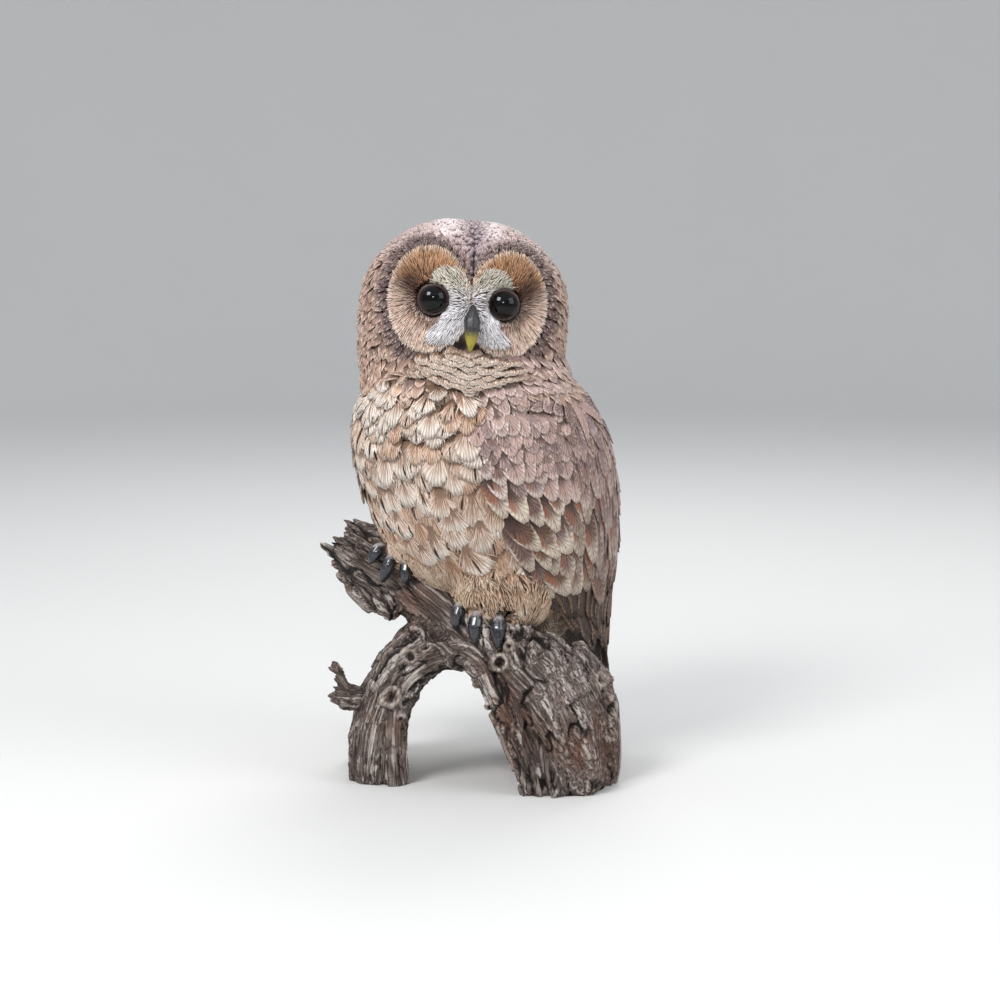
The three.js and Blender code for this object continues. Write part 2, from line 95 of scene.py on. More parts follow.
# Materials and node trees.
class Wire:  # a socket; sums on it add Math nodes
    def __init__(self, tree, socket=None):
        self.tree = tree
        self.socket = socket

    def add(self, kind, settings=None, values=None, out=0):
        node = self.tree.nodes.new(kind)
        for key, value in (settings or {}).items():
            setattr(node, key, value)
        for key, value in (values or {}).items():
            if isinstance(value, Wire):
                self.tree.links.new(value.socket, node.inputs[key])
            else:
                node.inputs[key].default_value = value
        return Wire(self.tree, node.outputs[out])

    def maths(self, operation, *values):
        return self.add("ShaderNodeMath", {"operation": operation}, dict(enumerate(values)))

    def vectors(self, operation, *values, out=0):
        settings = {"operation": operation}
        if operation == "SCALE":
            return self.add("ShaderNodeVectorMath", settings, {0: values[0], "Scale": values[1]})
        return self.add("ShaderNodeVectorMath", settings, dict(enumerate(values)), out)

    def __add__(self, other):
        return self.maths("ADD", self, other)

    def __sub__(self, other):
        return self.maths("SUBTRACT", self, other)

    def __rsub__(self, other):
        return self.maths("SUBTRACT", other, self)

    def __mul__(self, other):
        return self.maths("MULTIPLY", self, other)

    def __truediv__(self, other):
        return self.maths("DIVIDE", self, other)

    def __rtruediv__(self, other):
        return self.maths("DIVIDE", other, self)

    def __pow__(self, other):
        return self.maths("POWER", self, other)

    __radd__ = __add__
    __rmul__ = __mul__

    def rise(self, low, high):  # 0 below low, 1 above high, smooth between
        names = {"Value": self, "From Min": low, "From Max": high}
        return self.add("ShaderNodeMapRange", {"interpolation_type": "SMOOTHSTEP"}, names)

    def blend(self, first, second):  # two colours, by this factor
        return self.add("ShaderNodeMix", {"data_type": "RGBA"}, {0: self, 6: first, 7: second}, 2)

    def noise(self, place, scale, detail=2):
        return self.add("ShaderNodeTexNoise", {}, {"Vector": place, "Scale": scale, "Detail": detail})

    def attribute(self, name, out=1):  # colour 0, vector 1, number 2
        return self.add("ShaderNodeAttribute", {"attribute_name": name}, {}, out)

    def parts(self):
        node = self.add("ShaderNodeSeparateXYZ", {}, {0: self}).socket.node
        return [Wire(self.tree, socket) for socket in node.outputs]


def newMaterial(name):  # with its tree's wire, its shader, and the place on the piece in metres
    material = bpy.data.materials.new(name)
    material.use_nodes = True
    wire = Wire(material.node_tree)
    return material, wire, wire.tree.nodes["Principled BSDF"], wire.add("ShaderNodeTexCoord", out=3)


def plug(shader, name, wire):
    wire.tree.links.new(wire.socket, shader.inputs[name])


def addRelief(shader, height, strength, deep):  # raised where height is more, deep in metres
    values = {"Height": height, "Strength": strength, "Distance": deep}
    plug(shader, "Normal", height.add("ShaderNodeBump", {}, values))


def rgb(red, green, blue):  # 0 to 255 as seen, made linear
    values = np.array((red, green, blue)) / 255
    return tuple(np.where(values < 0.04045, values / 12.92, ((values + 0.055) / 1.055) ** 2.4))


def rgba(*colour):
    return (*rgb(*colour), 1)


# Curves and noise that work on whole arrays.
def smoothStep(x, low, high):
    t = np.clip((x - low) / (high - low), 0, 1)
    return t * t * (3 - 2 * t)


def bump(x, width):
    return np.exp(-((x / width) ** 2))


def unit(vectors):
    return vectors / np.maximum(np.linalg.norm(vectors, axis=-1, keepdims=True), 1e-9)


def mixed(first, second, amount):
    amount = np.asarray(amount)[..., None]
    return np.asarray(first) * (1 - amount) + np.asarray(second) * amount


def ease(pairs):  # a smooth curve through pairs of numbers
    xs, ys = np.array(pairs, float).T
    slopes = np.gradient(ys, xs)

    def curve(x):
        x = np.clip(x, xs[0], xs[-1])
        i = np.clip(np.searchsorted(xs, x) - 1, 0, len(xs) - 2)
        span = xs[i + 1] - xs[i]
        t = (x - xs[i]) / span
        h = t * t * (3 - 2 * t)
        bend = slopes[i] * (t - 2 * t * t + t**3) + slopes[i + 1] * (t**3 - t * t)
        return ys[i] * (1 - h) + ys[i + 1] * h + span * bend

    return curve


def cloud(points, seed=0):  # smooth noise from -1 to 1
    cell = np.floor(points).astype(np.int64)
    f = points - cell
    f = f * f * (3 - 2 * f)
    total = np.zeros(len(points))
    for corner in range(8):
        step = np.array((corner & 1, corner >> 1 & 1, corner >> 2))
        x, y, z = (cell + step).T
        h = (x * 73856093 ^ y * 19349663 ^ z * 83492791 ^ (seed * 2654435761)) & 0xFFFFFFFF
        h = ((h ^ h >> 15) * 2246822519) & 0xFFFFFFFF
        h = ((h ^ h >> 13) * 3266489917) & 0xFFFFFFFF
        weight = np.prod(np.where(step, f, 1 - f), axis=1)
        total += weight * ((h ^ h >> 16) & 0xFFFF) / 32767.5
    return total - 1


# Where the owl is: millimetres in its own frame, metres in the scene.
owl = {"place": (-18, 0), "heading": -42, "headCentre": (-3.5, 20.5, 337), "headTurn": 46, "headTilt": 4.6,
       "eye": (24.3, -42.0, 4.6), "eyeRadius": 11.5}


def turned(degrees, axis):
    return np.array(Matrix.Rotation(math.radians(degrees), 3, axis))


owlTurn = turned(owl["heading"], "Z")
headTurn = turned(owl["headTurn"], "Z") @ turned(owl["headTilt"], "Y")
headCentre = np.array(owl["headCentre"])
eyeMiddle = np.mean([tuple(corner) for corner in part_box("eye_left")], axis=0) * 1000
owlOrigin = eyeMiddle - owlTurn @ (headCentre + headTurn @ np.array(owl["eye"]))


def fromOwl(points):
    return (np.asarray(points) @ owlTurn.T + owlOrigin) / 1000


def toOwl(points):
    return (np.asarray(points) * 1000 - owlOrigin) @ owlTurn


def fromHead(points):
    return fromOwl(headCentre + np.asarray(points) @ headTurn.T)


def toHead(points):
    return (toOwl(points) - headCentre) @ headTurn


def owlDirection(vectors):
    return np.asarray(vectors) @ owlTurn.T


def headDirection(vectors):
    return owlDirection(np.asarray(vectors) @ headTurn.T)


# Making, reading and writing meshes.
def linked(name, mesh):
    made = bpy.data.objects.new(name, mesh)
    scene.collection.objects.link(made)
    return made


def meshObject(name, points, faces):
    mesh = bpy.data.meshes.new(name)
    mesh.from_pydata([tuple(p) for p in points], [], faces)
    mesh.shade_smooth()
    return linked(name, mesh)


def setAttribute(mesh, name, values, kind="FLOAT_VECTOR", domain="POINT"):
    values = np.asarray(values, np.float32)
    field = "value" if kind == "FLOAT" else "vector"
    mesh.attributes.new(name, kind, domain).data.foreach_set(field, values.ravel())


def readPoints(mesh):
    points = np.empty(len(mesh.vertices) * 3, np.float32)
    normals = np.empty(len(mesh.vertices) * 3, np.float32)
    mesh.vertices.foreach_get("co", points)
    mesh.vertex_normals.foreach_get("vector", normals)
    return points.reshape(-1, 3).astype(float), normals.reshape(-1, 3).astype(float)


def writePoints(mesh, points):
    mesh.vertices.foreach_set("co", np.asarray(points, np.float32).ravel())
    mesh.update()


def triangleCorners(mesh):  # three vertex numbers for each triangle
    mesh.calc_loop_triangles()
    corners = np.empty(len(mesh.loop_triangles) * 3, np.int32)
    mesh.loop_triangles.foreach_get("vertices", corners)
    return corners.reshape(-1, 3)


def baked(source):  # the object's evaluated mesh, with no modifier left
    graph = bpy.context.evaluated_depsgraph_get()
    mesh = bpy.data.meshes.new_from_object(source.evaluated_get(graph), depsgraph=graph)
    source.modifiers.clear()
    source.data = mesh
    return source


def keepLargest(mesh):  # drops the small shells that a remesh leaves inside
    shape = bmesh.new()
    shape.from_mesh(mesh)
    left, shells = set(shape.verts), []
    while left:
        start = left.pop()
        shell, fresh = [start], [start]
        while fresh:
            near = {edge.other_vert(vert) for vert in fresh for edge in vert.link_edges} & left
            left -= near
            fresh = list(near)
            shell += fresh
        shells.append(shell)
    shells.sort(key=len)
    bmesh.ops.delete(shape, geom=[vert for shell in shells[:-1] for vert in shell], context="VERTS")
    shape.to_mesh(mesh)
    shape.free()


def joinedNodes(name, nodes, voxel, smoothing):
    shape = bmesh.new()
    for node in nodes:
        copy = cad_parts[node].data.copy()
        copy.transform(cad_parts[node].matrix_world)
        shape.from_mesh(copy)
    bmesh.ops.remove_doubles(shape, verts=shape.verts, dist=1e-6)
    mesh = bpy.data.meshes.new(name)
    shape.to_mesh(mesh)
    shape.free()
    made = linked(name, mesh)
    remesh = made.modifiers.new("one", "REMESH")
    remesh.mode = "VOXEL"
    remesh.voxel_size = voxel
    relax = made.modifiers.new("even", "SMOOTH")
    relax.factor = 0.5
    relax.iterations = smoothing
    baked(made)
    keepLargest(made.data)
    return made


def treeOf(made):
    points, _ = readPoints(made.data)
    return BVHTree.FromPolygons(points.tolist(), [tuple(p.vertices) for p in made.data.polygons])


# The body's outline, as the solids have it.
outline = [  # height, front, back, half width
    (66, 84, 150, 40), (84, 40, 148, 50), (100, 22, 146, 57), (118, 4, 143, 64), (140, -13, 139, 74),
    (172, -33, 136, 83), (205, -47, 132, 88), (236, -55, 124, 90), (262, -54, 110, 86), (282, -47, 96, 76),
    (300, -34, 80, 62)]
frontAt, backAt, halfAt = (ease([(row[0], row[i]) for row in outline]) for i in (1, 2, 3))
wingEdges = [  # height, front and back edge as degrees round from the breast
    (81, 132, 156), (92, 112, 167), (100, 97, 170), (115, 83, 174), (129, 73, 175), (150, 60, 176),
    (168, 54, 176), (193, 49, 176), (207, 46, 175), (228, 43, 174), (250, 40, 172), (262, 42, 168),
    (270, 56, 154), (273, 82, 128)]
wingFront, wingBack = (ease([(row[0], row[i]) for row in wingEdges]) for i in (1, 2))
tailBack = ease([(54, 143), (60, 142), (74, 139), (110, 130), (150, 117), (178, 106)])
bodyAxis = 35  # how far behind the owl's own origin its upright axis stands


def bodyPoint(height, angle, out=0.0):  # angle in radians, from the breast round to the left
    middle = (frontAt(height) + backAt(height)) / 2
    depth = (backAt(height) - frontAt(height)) / 2 + out
    return np.stack([(halfAt(height) + out) * np.sin(angle), middle - depth * np.cos(angle), height], -1)


def aroundBody(p):  # degrees round from the breast to the left, for points in the owl's frame
    return np.degrees(np.arctan2(p[:, 0], bodyAxis - p[:, 1]))


def levelWay(angle):  # level and outwards at an angle round from the breast, in the scene
    return owlDirection([math.sin(angle), -math.cos(angle), 0])


# The skin: one closed mesh under all the feathers.
skin = {"voxel": 0.0022, "smoothing": 14, "depth": 2.6, "thin": 0.012, "share": 0.28}
fleshNodes = ["head", "face_disc_left", "face_disc_right", "neck", "trunk", "tail", "toes_left", "toes_right"]
fleshNodes += [f"wing_{part}_{side}" for part in ("coverts", "flight") for side in ("left", "right")]


faceSwells = [  # how far forward; then place and width across the face, and in height
    (2.2, 15, 8, 24, 8),  # brows
    (2.0, 7, 5, 2, 15),  # sides of the bridge
    (2.4, 15, 8, -14, 9),  # cheeks beside the bill
]
browMiddle, chinMiddle = 1.5, 3  # how far to the left of the head's middle the brow and the chin stand


def shapedFace(p):  # how far the skin comes forward, in millimetres
    side, height = np.abs(p[:, 0] - 1.6 * bump(p[:, 0], 14)), p[:, 2]  # mirrored about the bridge
    eyeX, _, eyeZ = owl["eye"]
    away = np.hypot(np.abs(p[:, 0]) - eyeX, height - eyeZ)
    out = 2.2 * bump(away - 15.5, 3.6) - 4.0 * bump(away, 9)  # a roll round each eye, and its hollow
    for forward, across, wide, level, tall in faceSwells:
        out += forward * bump(side - across, wide) * bump(height - level, tall)
    out -= 3.2 * bump(side, 2.6) * smoothStep(height, -4, 6) * (1 - smoothStep(height, 34, 46))  # cleft
    out -= 4.5 * bump(np.abs(p[:, 0] - chinMiddle) - 5, 5.5) * bump(height + 27, 5.5)  # gape
    out += 2.0 * bump(p[:, 0] - chinMiddle, 22) * bump(height + 40, 8)  # chin
    return smoothStep(-p[:, 1], 12, 38) * out


def addSkin():
    made = joinedNodes("skin", fleshNodes, skin["voxel"], skin["smoothing"])
    points, normals = readPoints(made.data)
    tree = treeOf(made)
    depth = np.full(len(points), skin["depth"])
    for i, (p, n) in enumerate(zip(points, normals)):  # less deep where the flesh is thin, as on the toes
        hit = tree.ray_cast(Vector(p - n * 2e-4), Vector(-n), skin["thin"])
        if hit[3] is not None:
            depth[i] = min(skin["depth"], skin["share"] * 1000 * hit[3])
    points -= normals * depth[:, None] / 1000
    local = toHead(points)
    near = (np.abs(local[:, 0]) < 60) & (np.abs(local[:, 2]) < 60) & (local[:, 1] < 0)
    forward = headDirection(np.array([[0.0, -1.0, 0.0]]))
    points[near] += shapedFace(local[near])[:, None] * forward / 1000
    writePoints(made.data, points)
    points, normals = readPoints(made.data)
    setAttribute(made.data, "skinNormal", normals)
    return made


# Feather shapes: across -0.5 to 0.5, along 0 to 1, height in thicknesses.
def mapTemplate(made, corners):  # corners: for each face, its place on the feather's own map
    layer = made.data.uv_layers.new(name="OFBake")
    flat = [xy for face in corners for xy in face]
    layer.data.foreach_set("uv", np.array(flat, np.float32).ravel())
    made.hide_render = True
    return made


def vane(name, look):  # a thick feather: a crowned top, a rim and a flat underside, all closed
    cols, rows = look["cols"], look["rows"]
    points, places, coords = [], [], []
    for j in range(rows):
        v = j / (rows - 1)
        half = 0.5 * (look["root"] + (1 - look["root"]) * float(smoothStep(v, 0, look["full"])))
        for i in range(cols):
            u = -1 + 2 * i / (cols - 1)
            tooth = look.get("teeth", 0) * (1 if i % 2 else -1) * (1 - 0.4 * abs(u))
            reach = 1 - look["round"] * abs(u) ** look["blunt"] + (tooth if 0 < i < cols - 1 else 0)
            crown = 1 - look["arch"] * u * u + look.get("tilt", 0) * u
            crease = look.get("ribs", 0) * (1 if i % 2 else -1) * smoothStep(v, 0.2, 0.8)
            shaft = look["shaft"] * math.exp(-((u / 0.12) ** 2)) * (1 - v)
            points.append((u * half, v * reach, crown * (1 - look["droop"] * v**5) + crease + shaft))
            coords.append((u, v, 0))
            places.append((0.06 + 0.88 * (u + 1) / 2, 0.03 + 0.77 * v))  # most of the map is the top
    edge = [j * cols for j in range(rows)]
    edge += [(rows - 1) * cols + i for i in range(1, cols)]
    edge += [j * cols + cols - 1 for j in range(rows - 2, -1, -1)]
    under = {}
    for k in edge:
        under[k] = len(points)
        x, y, z = points[k]
        points.append((x * 0.96, y * 0.985, z - look["edge"]))
        coords.append(coords[k])
    faces, corners = [], []
    for j in range(rows - 1):
        for i in range(cols - 1):
            a = j * cols + i
            quad = (a, a + 1, a + cols + 1, a + cols)
            faces.append(quad)
            corners.append([places[k] for k in quad])

    def outer(k):  # the foot of the rim, just outside the top's place on the map
        x, y = places[k]
        return x + 0.05 * np.sign(x - 0.5) * (abs(x - 0.5) > 0.43), y + 0.025 * (y > 0.6) - 0.02 * (y < 0.04)

    for a, b in zip(edge, edge[1:]):
        faces.append((a, b, under[b], under[a]))
        corners.append([places[a], places[b], outer(b), outer(a)])
    faces.append((*range(cols - 1, -1, -1), under[0], under[cols - 1]))
    corners.append([*places[cols - 1::-1], outer(0), outer(cols - 1)])

    def below(k):  # the underside, in a strip above the top's place
        return places[k][0], 0.86 + 0.12 * (places[k][1] - 0.03) / 0.77

    for j in range(rows - 2):
        a, b = j * cols, j * cols + cols - 1
        quad = (a, a + cols, b + cols, b)
        faces.append(tuple(under[k] for k in quad))
        corners.append([below(k) for k in quad])
    ring = [(rows - 2) * cols] + [(rows - 1) * cols + i for i in range(cols)] + [(rows - 1) * cols - 1]
    faces.append(tuple(under[k] for k in ring))
    corners.append([below(k) for k in ring])
    made = meshObject(name, points, faces)
    setAttribute(made.data, "vane", coords)
    return mapTemplate(made, corners)


def strand(name, look):  # a three-sided bristle that tapers to a point
    rows = look["rows"]
    points, coords, faces, corners = [], [], [], []
    for j in range(rows):
        v = j / rows
        size = look["root"] + (1 - look["root"]) * float(smoothStep(v, 0, 0.35))
        size *= 1 - 0.75 * float(smoothStep(v, 0.45, 1.0))
        for x, z in ((-0.5, 0), (0.5, 0), (0, 1)):
            points.append((x * size, v, z * size + look["bow"] * math.sin(math.pi * v)))
            coords.append((2 * x, v, 0))
    points.append((0, 1, 0))
    coords.append((0, 1, 0))
    tip = len(points) - 1
    for j in range(rows - 1):
        for k in range(3):
            a, b = j * 3 + k, j * 3 + (k + 1) % 3
            faces.append((a, a + 3, b + 3, b))
            left, right, low, high = k / 3, (k + 1) / 3, j / rows, (j + 1) / rows
            corners.append([(left, low), (left, high), (right, high), (right, low)])
    for k in range(3):
        a, b = (rows - 1) * 3 + k, (rows - 1) * 3 + (k + 1) % 3
        faces.append((b, a, tip))
        corners.append([((k + 1) / 3, 1 - 1 / rows), (k / 3, 1 - 1 / rows), ((k + 0.5) / 3, 1)])
    faces.append((0, 1, 2))
    corners.append([(0, 0), (0.5, 0.08), (1, 0)])
    made = meshObject(name, points, faces)
    setAttribute(made.data, "vane", coords)
    return mapTemplate(made, [[(0.05 + 0.9 * x, 0.04 + 0.92 * y) for x, y in face] for face in corners])


templates = {
    "scale": vane("scaleShape", {
        "cols": 7, "rows": 6, "root": 0.7, "full": 0.4, "round": 0.5, "blunt": 1.7,
        "arch": 0.75, "shaft": 0.2, "edge": 0.7, "droop": 0.35}),
    "tuft": vane("tuftShape", {
        "cols": 11, "rows": 7, "root": 0.5, "full": 0.6, "round": 0.34, "blunt": 1.9, "teeth": 0.03,
        "ribs": 0.07, "arch": 0.6, "shaft": 0.1, "edge": 0.45, "droop": 0.35}),
    "pad": vane("padShape", {
        "cols": 11, "rows": 7, "root": 0.55, "full": 0.5, "round": 0.32, "blunt": 2.2, "teeth": 0.018,
        "ribs": 0.05, "arch": 0.62, "shaft": 0, "edge": 0.3, "droop": 0.6}),
    "plume": vane("plumeShape", {
        "cols": 9, "rows": 9, "root": 0.5, "full": 0.5, "round": 0.46, "blunt": 2.2, "teeth": 0.012,
        "ribs": 0.03, "arch": 0.8, "shaft": 0.3, "edge": 0.6, "droop": 0.3}),
    "quill": vane("quillShape", {
        "cols": 9, "rows": 13, "root": 0.6, "full": 0.3, "round": 0.2, "blunt": 2.4,
        "arch": 0.6, "shaft": 0.45, "edge": 0.6, "droop": 0.35}),
    "bristle": strand("bristleShape", {"rows": 4, "root": 0.6, "bow": 0.6}),
}
for side, tilt in (("left", 0.55), ("right", -0.55)):
    templates[f"strip_{side}"] = vane(f"stripShape{side}", {
        "cols": 9, "rows": 13, "root": 0.7, "full": 0.3, "round": 0.16, "blunt": 2.2,
        "arch": 0.35, "shaft": 0.3, "edge": 0.6, "droop": 0.2, "tilt": tilt})


# Laying feathers: one tree for every coat piece.
def featherTree():
    tree = bpy.data.node_groups.new("layFeathers", "GeometryNodeTree")
    sides = tree.interface
    for name, kind in (("Roots", "NodeSocketGeometry"), ("Feather", "NodeSocketObject"),
                       ("Skin", "NodeSocketObject"), ("Paint", "NodeSocketMaterial"),
                       ("Ragged", "NodeSocketFloat"), ("Frizz", "NodeSocketFloat")):
        sides.new_socket(name, in_out="INPUT", socket_type=kind)
    sides.new_socket("Coat", in_out="OUTPUT", socket_type="NodeSocketGeometry")
    start = tree.nodes.new("NodeGroupInput")
    given = {socket.name: Wire(tree, socket) for socket in start.outputs if socket.name}
    wire = Wire(tree)

    def named(name):
        return wire.add("GeometryNodeInputNamedAttribute", {"data_type": "FLOAT_VECTOR"}, {"Name": name})

    feather = wire.add("GeometryNodeObjectInfo", {}, {"Object": given["Feather"]}, 4)
    coatSkin = wire.add("GeometryNodeObjectInfo", {}, {"Object": given["Skin"]}, 4)
    upright = wire.add("FunctionNodeAlignRotationToVector", {"axis": "Z"}, {"Vector": named("up")})
    laid = wire.add("FunctionNodeAlignRotationToVector", {"axis": "Y", "pivot_axis": "Z"},
                    {"Rotation": upright, "Vector": named("lie")})
    laidOut = wire.add("GeometryNodeInstanceOnPoints", {}, {
        "Points": given["Roots"], "Instance": feather, "Rotation": laid, "Scale": named("size")})
    solid = wire.add("GeometryNodeRealizeInstances", {}, {"Geometry": laidOut})
    place = wire.add("GeometryNodeInputPosition")
    along = named("vane").parts()[1]
    base, lift, hug = named("rise").parts()
    root, up = named("rootPoint"), named("up")
    wobbleAt = wire.vectors("SCALE", place, 260.0)
    seed = named("marks").parts()[2]
    wobble = wire.add("ShaderNodeTexNoise", {"noise_dimensions": "4D"},
                      {"Vector": wobbleAt, "W": seed * 37.0, "Scale": 1.0, "Detail": 1.0}, 1)
    shake = wire.vectors("SCALE", wire.vectors("SUBTRACT", wobble, (0.5, 0.5, 0.5)),
                         given["Ragged"] * (0.25 + along * along))
    place = wire.vectors("ADD", place, shake)
    height = wire.vectors("DOT_PRODUCT", wire.vectors("SUBTRACT", place, root), up, out=1)
    flat = wire.vectors("SUBTRACT", place, wire.vectors("SCALE", up, height))
    nearest = wire.add("GeometryNodeProximity", {"target_element": "FACES"},
                       {"Geometry": coatSkin, "Sample Position": flat})
    normal = wire.add("GeometryNodeSampleNearestSurface", {"data_type": "FLOAT_VECTOR"},
                      {"Mesh": coatSkin, "Value": named("skinNormal"), "Sample Position": flat})
    normal = wire.vectors("NORMALIZE", normal)
    frizz = wire.add("ShaderNodeTexNoise", {}, {"Vector": wobbleAt, "Scale": 2.2, "Detail": 0.0})
    raised = height + base + lift * along ** 1.2 + (frizz - 0.5) * given["Frizz"]
    onSkin = wire.vectors("ADD", nearest, wire.vectors("SCALE", normal, raised))
    inAir = wire.vectors("ADD", flat, wire.vectors("SCALE", up, raised))
    held = wire.vectors("SCALE", wire.vectors("SUBTRACT", onSkin, inAir), hug)
    moved = wire.add("GeometryNodeSetPosition", {}, {
        "Geometry": solid, "Position": wire.vectors("ADD", inAir, held)})
    painted = wire.add("GeometryNodeSetMaterial", {}, {"Geometry": moved, "Material": given["Paint"]})
    finish = tree.nodes.new("NodeGroupOutput")
    tree.links.new(painted.socket, finish.inputs[0])
    return tree


featherNodes = featherTree()


def gridCells(places):  # each root's own cell of the map, in the order of its place on the unwrapped skin
    count = len(places)
    rows = max(1, round(math.sqrt(count)))
    cells = np.zeros((count, 4))
    for j, row in enumerate(np.array_split(np.argsort(places[:, 1], kind="stable"), rows)):
        row = row[np.argsort(places[row, 0], kind="stable")]
        for i, k in enumerate(row):
            cells[k] = (i / len(row), j / rows, 1 / len(row), 1 / rows)
    return cells


leastVolume = 0.08  # of the middle feather's; less means that it is folded


def dropFolded(mesh, count):  # removes the few feathers that a sharp hollow has turned inside out
    points, _ = readPoints(mesh)
    corners = triangleCorners(mesh)
    each = len(points) // count
    owner = corners[:, 0] // each
    local = points - np.repeat(points[::each], each, axis=0)
    a, b, c = (local[corners[:, i]] for i in range(3))
    volume = np.bincount(owner, np.sum(a * np.cross(b, c), axis=1), count)
    folded = np.flatnonzero(volume <= leastVolume * np.median(volume))
    shape = bmesh.new()
    shape.from_mesh(mesh)
    shape.verts.ensure_lookup_table()
    gone = [shape.verts[k * each + i] for k in folded for i in range(each)]
    bmesh.ops.delete(shape, geom=gone, context="VERTS")
    shape.to_mesh(mesh)
    shape.free()
    return len(folded)


def layFeathers(name, plan, shape, target, paint, ragged=0.0, frizz=0.0):
    count = len(plan["root"])
    roots = meshObject(name, plan["root"], [])
    sizes = np.stack([plan["width"], plan["length"], plan["thick"]], -1) / 1000
    rises = np.stack([plan["base"] / 1000, plan["lift"] / 1000, plan["hug"]], -1)
    for key, values in (("up", plan["up"]), ("lie", plan["lie"]), ("size", sizes), ("rise", rises),
                        ("rootPoint", plan["root"]), ("tint", plan["tint"]), ("edgeTint", plan["edgeTint"]),
                        ("marks", plan["marks"]), ("span", plan["span"])):
        setAttribute(roots.data, key, values)
    local = toOwl(plan["root"])
    cells = gridCells(np.stack([aroundBody(local), local[:, 2]], -1))
    setAttribute(roots.data, "cellAt", np.c_[cells[:, :2], np.zeros(count)])
    setAttribute(roots.data, "cellSize", np.c_[cells[:, 2:], np.zeros(count)])
    modifier = roots.modifiers.new("lay", "NODES")
    modifier.node_group = featherNodes
    values = {"Feather": templates[shape], "Skin": target, "Paint": paint,
              "Ragged": ragged / 1000, "Frizz": frizz / 1000}
    for socket in featherNodes.interface.items_tree:
        if socket.item_type == "SOCKET" and socket.name in values:
            modifier[socket.identifier] = values[socket.name]
    baked(roots)
    mesh = roots.data
    corner = np.empty(len(mesh.loops), np.int32)
    mesh.loops.foreach_get("vertex_index", corner)
    place = np.empty(len(corner) * 2, np.float32)
    layer = mesh.attributes["OFBake"].data
    layer.foreach_get("vector", place)
    at, size = (np.empty(len(mesh.vertices) * 3, np.float32) for _ in range(2))
    mesh.attributes["cellAt"].data.foreach_get("vector", at)
    mesh.attributes["cellSize"].data.foreach_get("vector", size)
    place = at.reshape(-1, 3)[corner, :2] + place.reshape(-1, 2) * size.reshape(-1, 3)[corner, :2]
    layer.foreach_set("vector", np.clip(place, 0, 1).astype(np.float32).ravel())
    for key in ("cellAt", "cellSize", "rootPoint", "size", "rise", "up", "lie"):
        mesh.attributes.remove(mesh.attributes[key])
    count -= dropFolded(mesh, count)
    mesh.shade_smooth()
    print(name, count, "feathers,", len(triangleCorners(mesh)), "triangles")
    return roots


# Choosing where feathers grow.
def skinSamples(made, count, rng):  # even random places on a mesh, with its smooth normals
    corners = triangleCorners(made.data)
    points, normals = readPoints(made.data)
    a, b, c = (points[corners[:, i]] for i in range(3))
    area = np.linalg.norm(np.cross(b - a, c - a), axis=1)
    picked = rng.choice(len(corners), count, p=area / area.sum())
    u, v = rng.random((2, count, 1))
    flip = (u + v) > 1
    u, v = np.where(flip, 1 - u, u), np.where(flip, 1 - v, v)
    weight = (1 - u - v, u, v)
    place = sum(w * points[corners[picked, i]] for i, w in enumerate(weight))
    normal = sum(w * normals[corners[picked, i]] for i, w in enumerate(weight))
    return place, unit(normal)


def spread(points, spacing, rng):  # keeps points that stand at least their spacing apart, in millimetres
    tree = KDTree(len(points))
    for i, p in enumerate(points):
        tree.insert(p, i)
    tree.balance()
    gone = np.zeros(len(points), bool)
    kept = []
    for i in rng.permutation(len(points)):
        if not gone[i]:
            kept.append(i)
            for _, j, _ in tree.find_range(points[i], spacing[i] / 1000):
                gone[j] = True
    return np.array(kept)


def only(keep, *arrays):
    return [array[keep] for array in arrays]


def flattened(vectors, normals):  # turned to lie along the surface
    return unit(vectors - normals * np.sum(vectors * normals, axis=1, keepdims=True))


def makePlan(root, up, lie, rng, sizes, looks):  # everything that each feather of a piece is laid with
    count = len(root)

    def full(value):  # one value for each feather
        return np.broadcast_to(np.asarray(value, float), (count,)).copy()

    scatter = 1 + sizes.get("vary", 0.08) * rng.standard_normal((2, count))
    lie = lie + sizes.get("stray", 0.08) * rng.standard_normal((count, 3))
    tone = np.maximum(1 + looks.get("uneven", 0.1) * rng.standard_normal((count, 1)), 0.1)
    width, length = full(sizes["width"]) * scatter[0], full(sizes["length"]) * scatter[1]
    return {
        "root": root, "up": up, "lie": flattened(lie, up), "width": width, "length": length,
        "thick": full(sizes["thick"]), "base": full(sizes["base"]) + 0.15 * rng.standard_normal(count),
        "lift": full(sizes["lift"]) * (1 + 0.15 * rng.standard_normal(count)),
        "hug": full(sizes.get("hug", 1)),
        "tint": np.clip(np.broadcast_to(looks["tint"], (count, 3)) * tone, 0, 1),
        "edgeTint": np.clip(np.broadcast_to(looks["edgeTint"], (count, 3)) * tone**0.5, 0, 1),
        "marks": np.stack([full(looks.get(key, 0.3)) for key in ("shaft", "tip")] + [rng.random(count)], -1),
        "span": np.stack([width, length, full(looks.get("cover", 0.5))], -1),
    }


# Feather paint: a wash that stays in the hollows, painted shade where each feather runs under the one above,
# and a dry brush on the tips.
plainLook = {"flare": 0, "blush": (0, 0, 0), "hem": 0, "soft": 0}


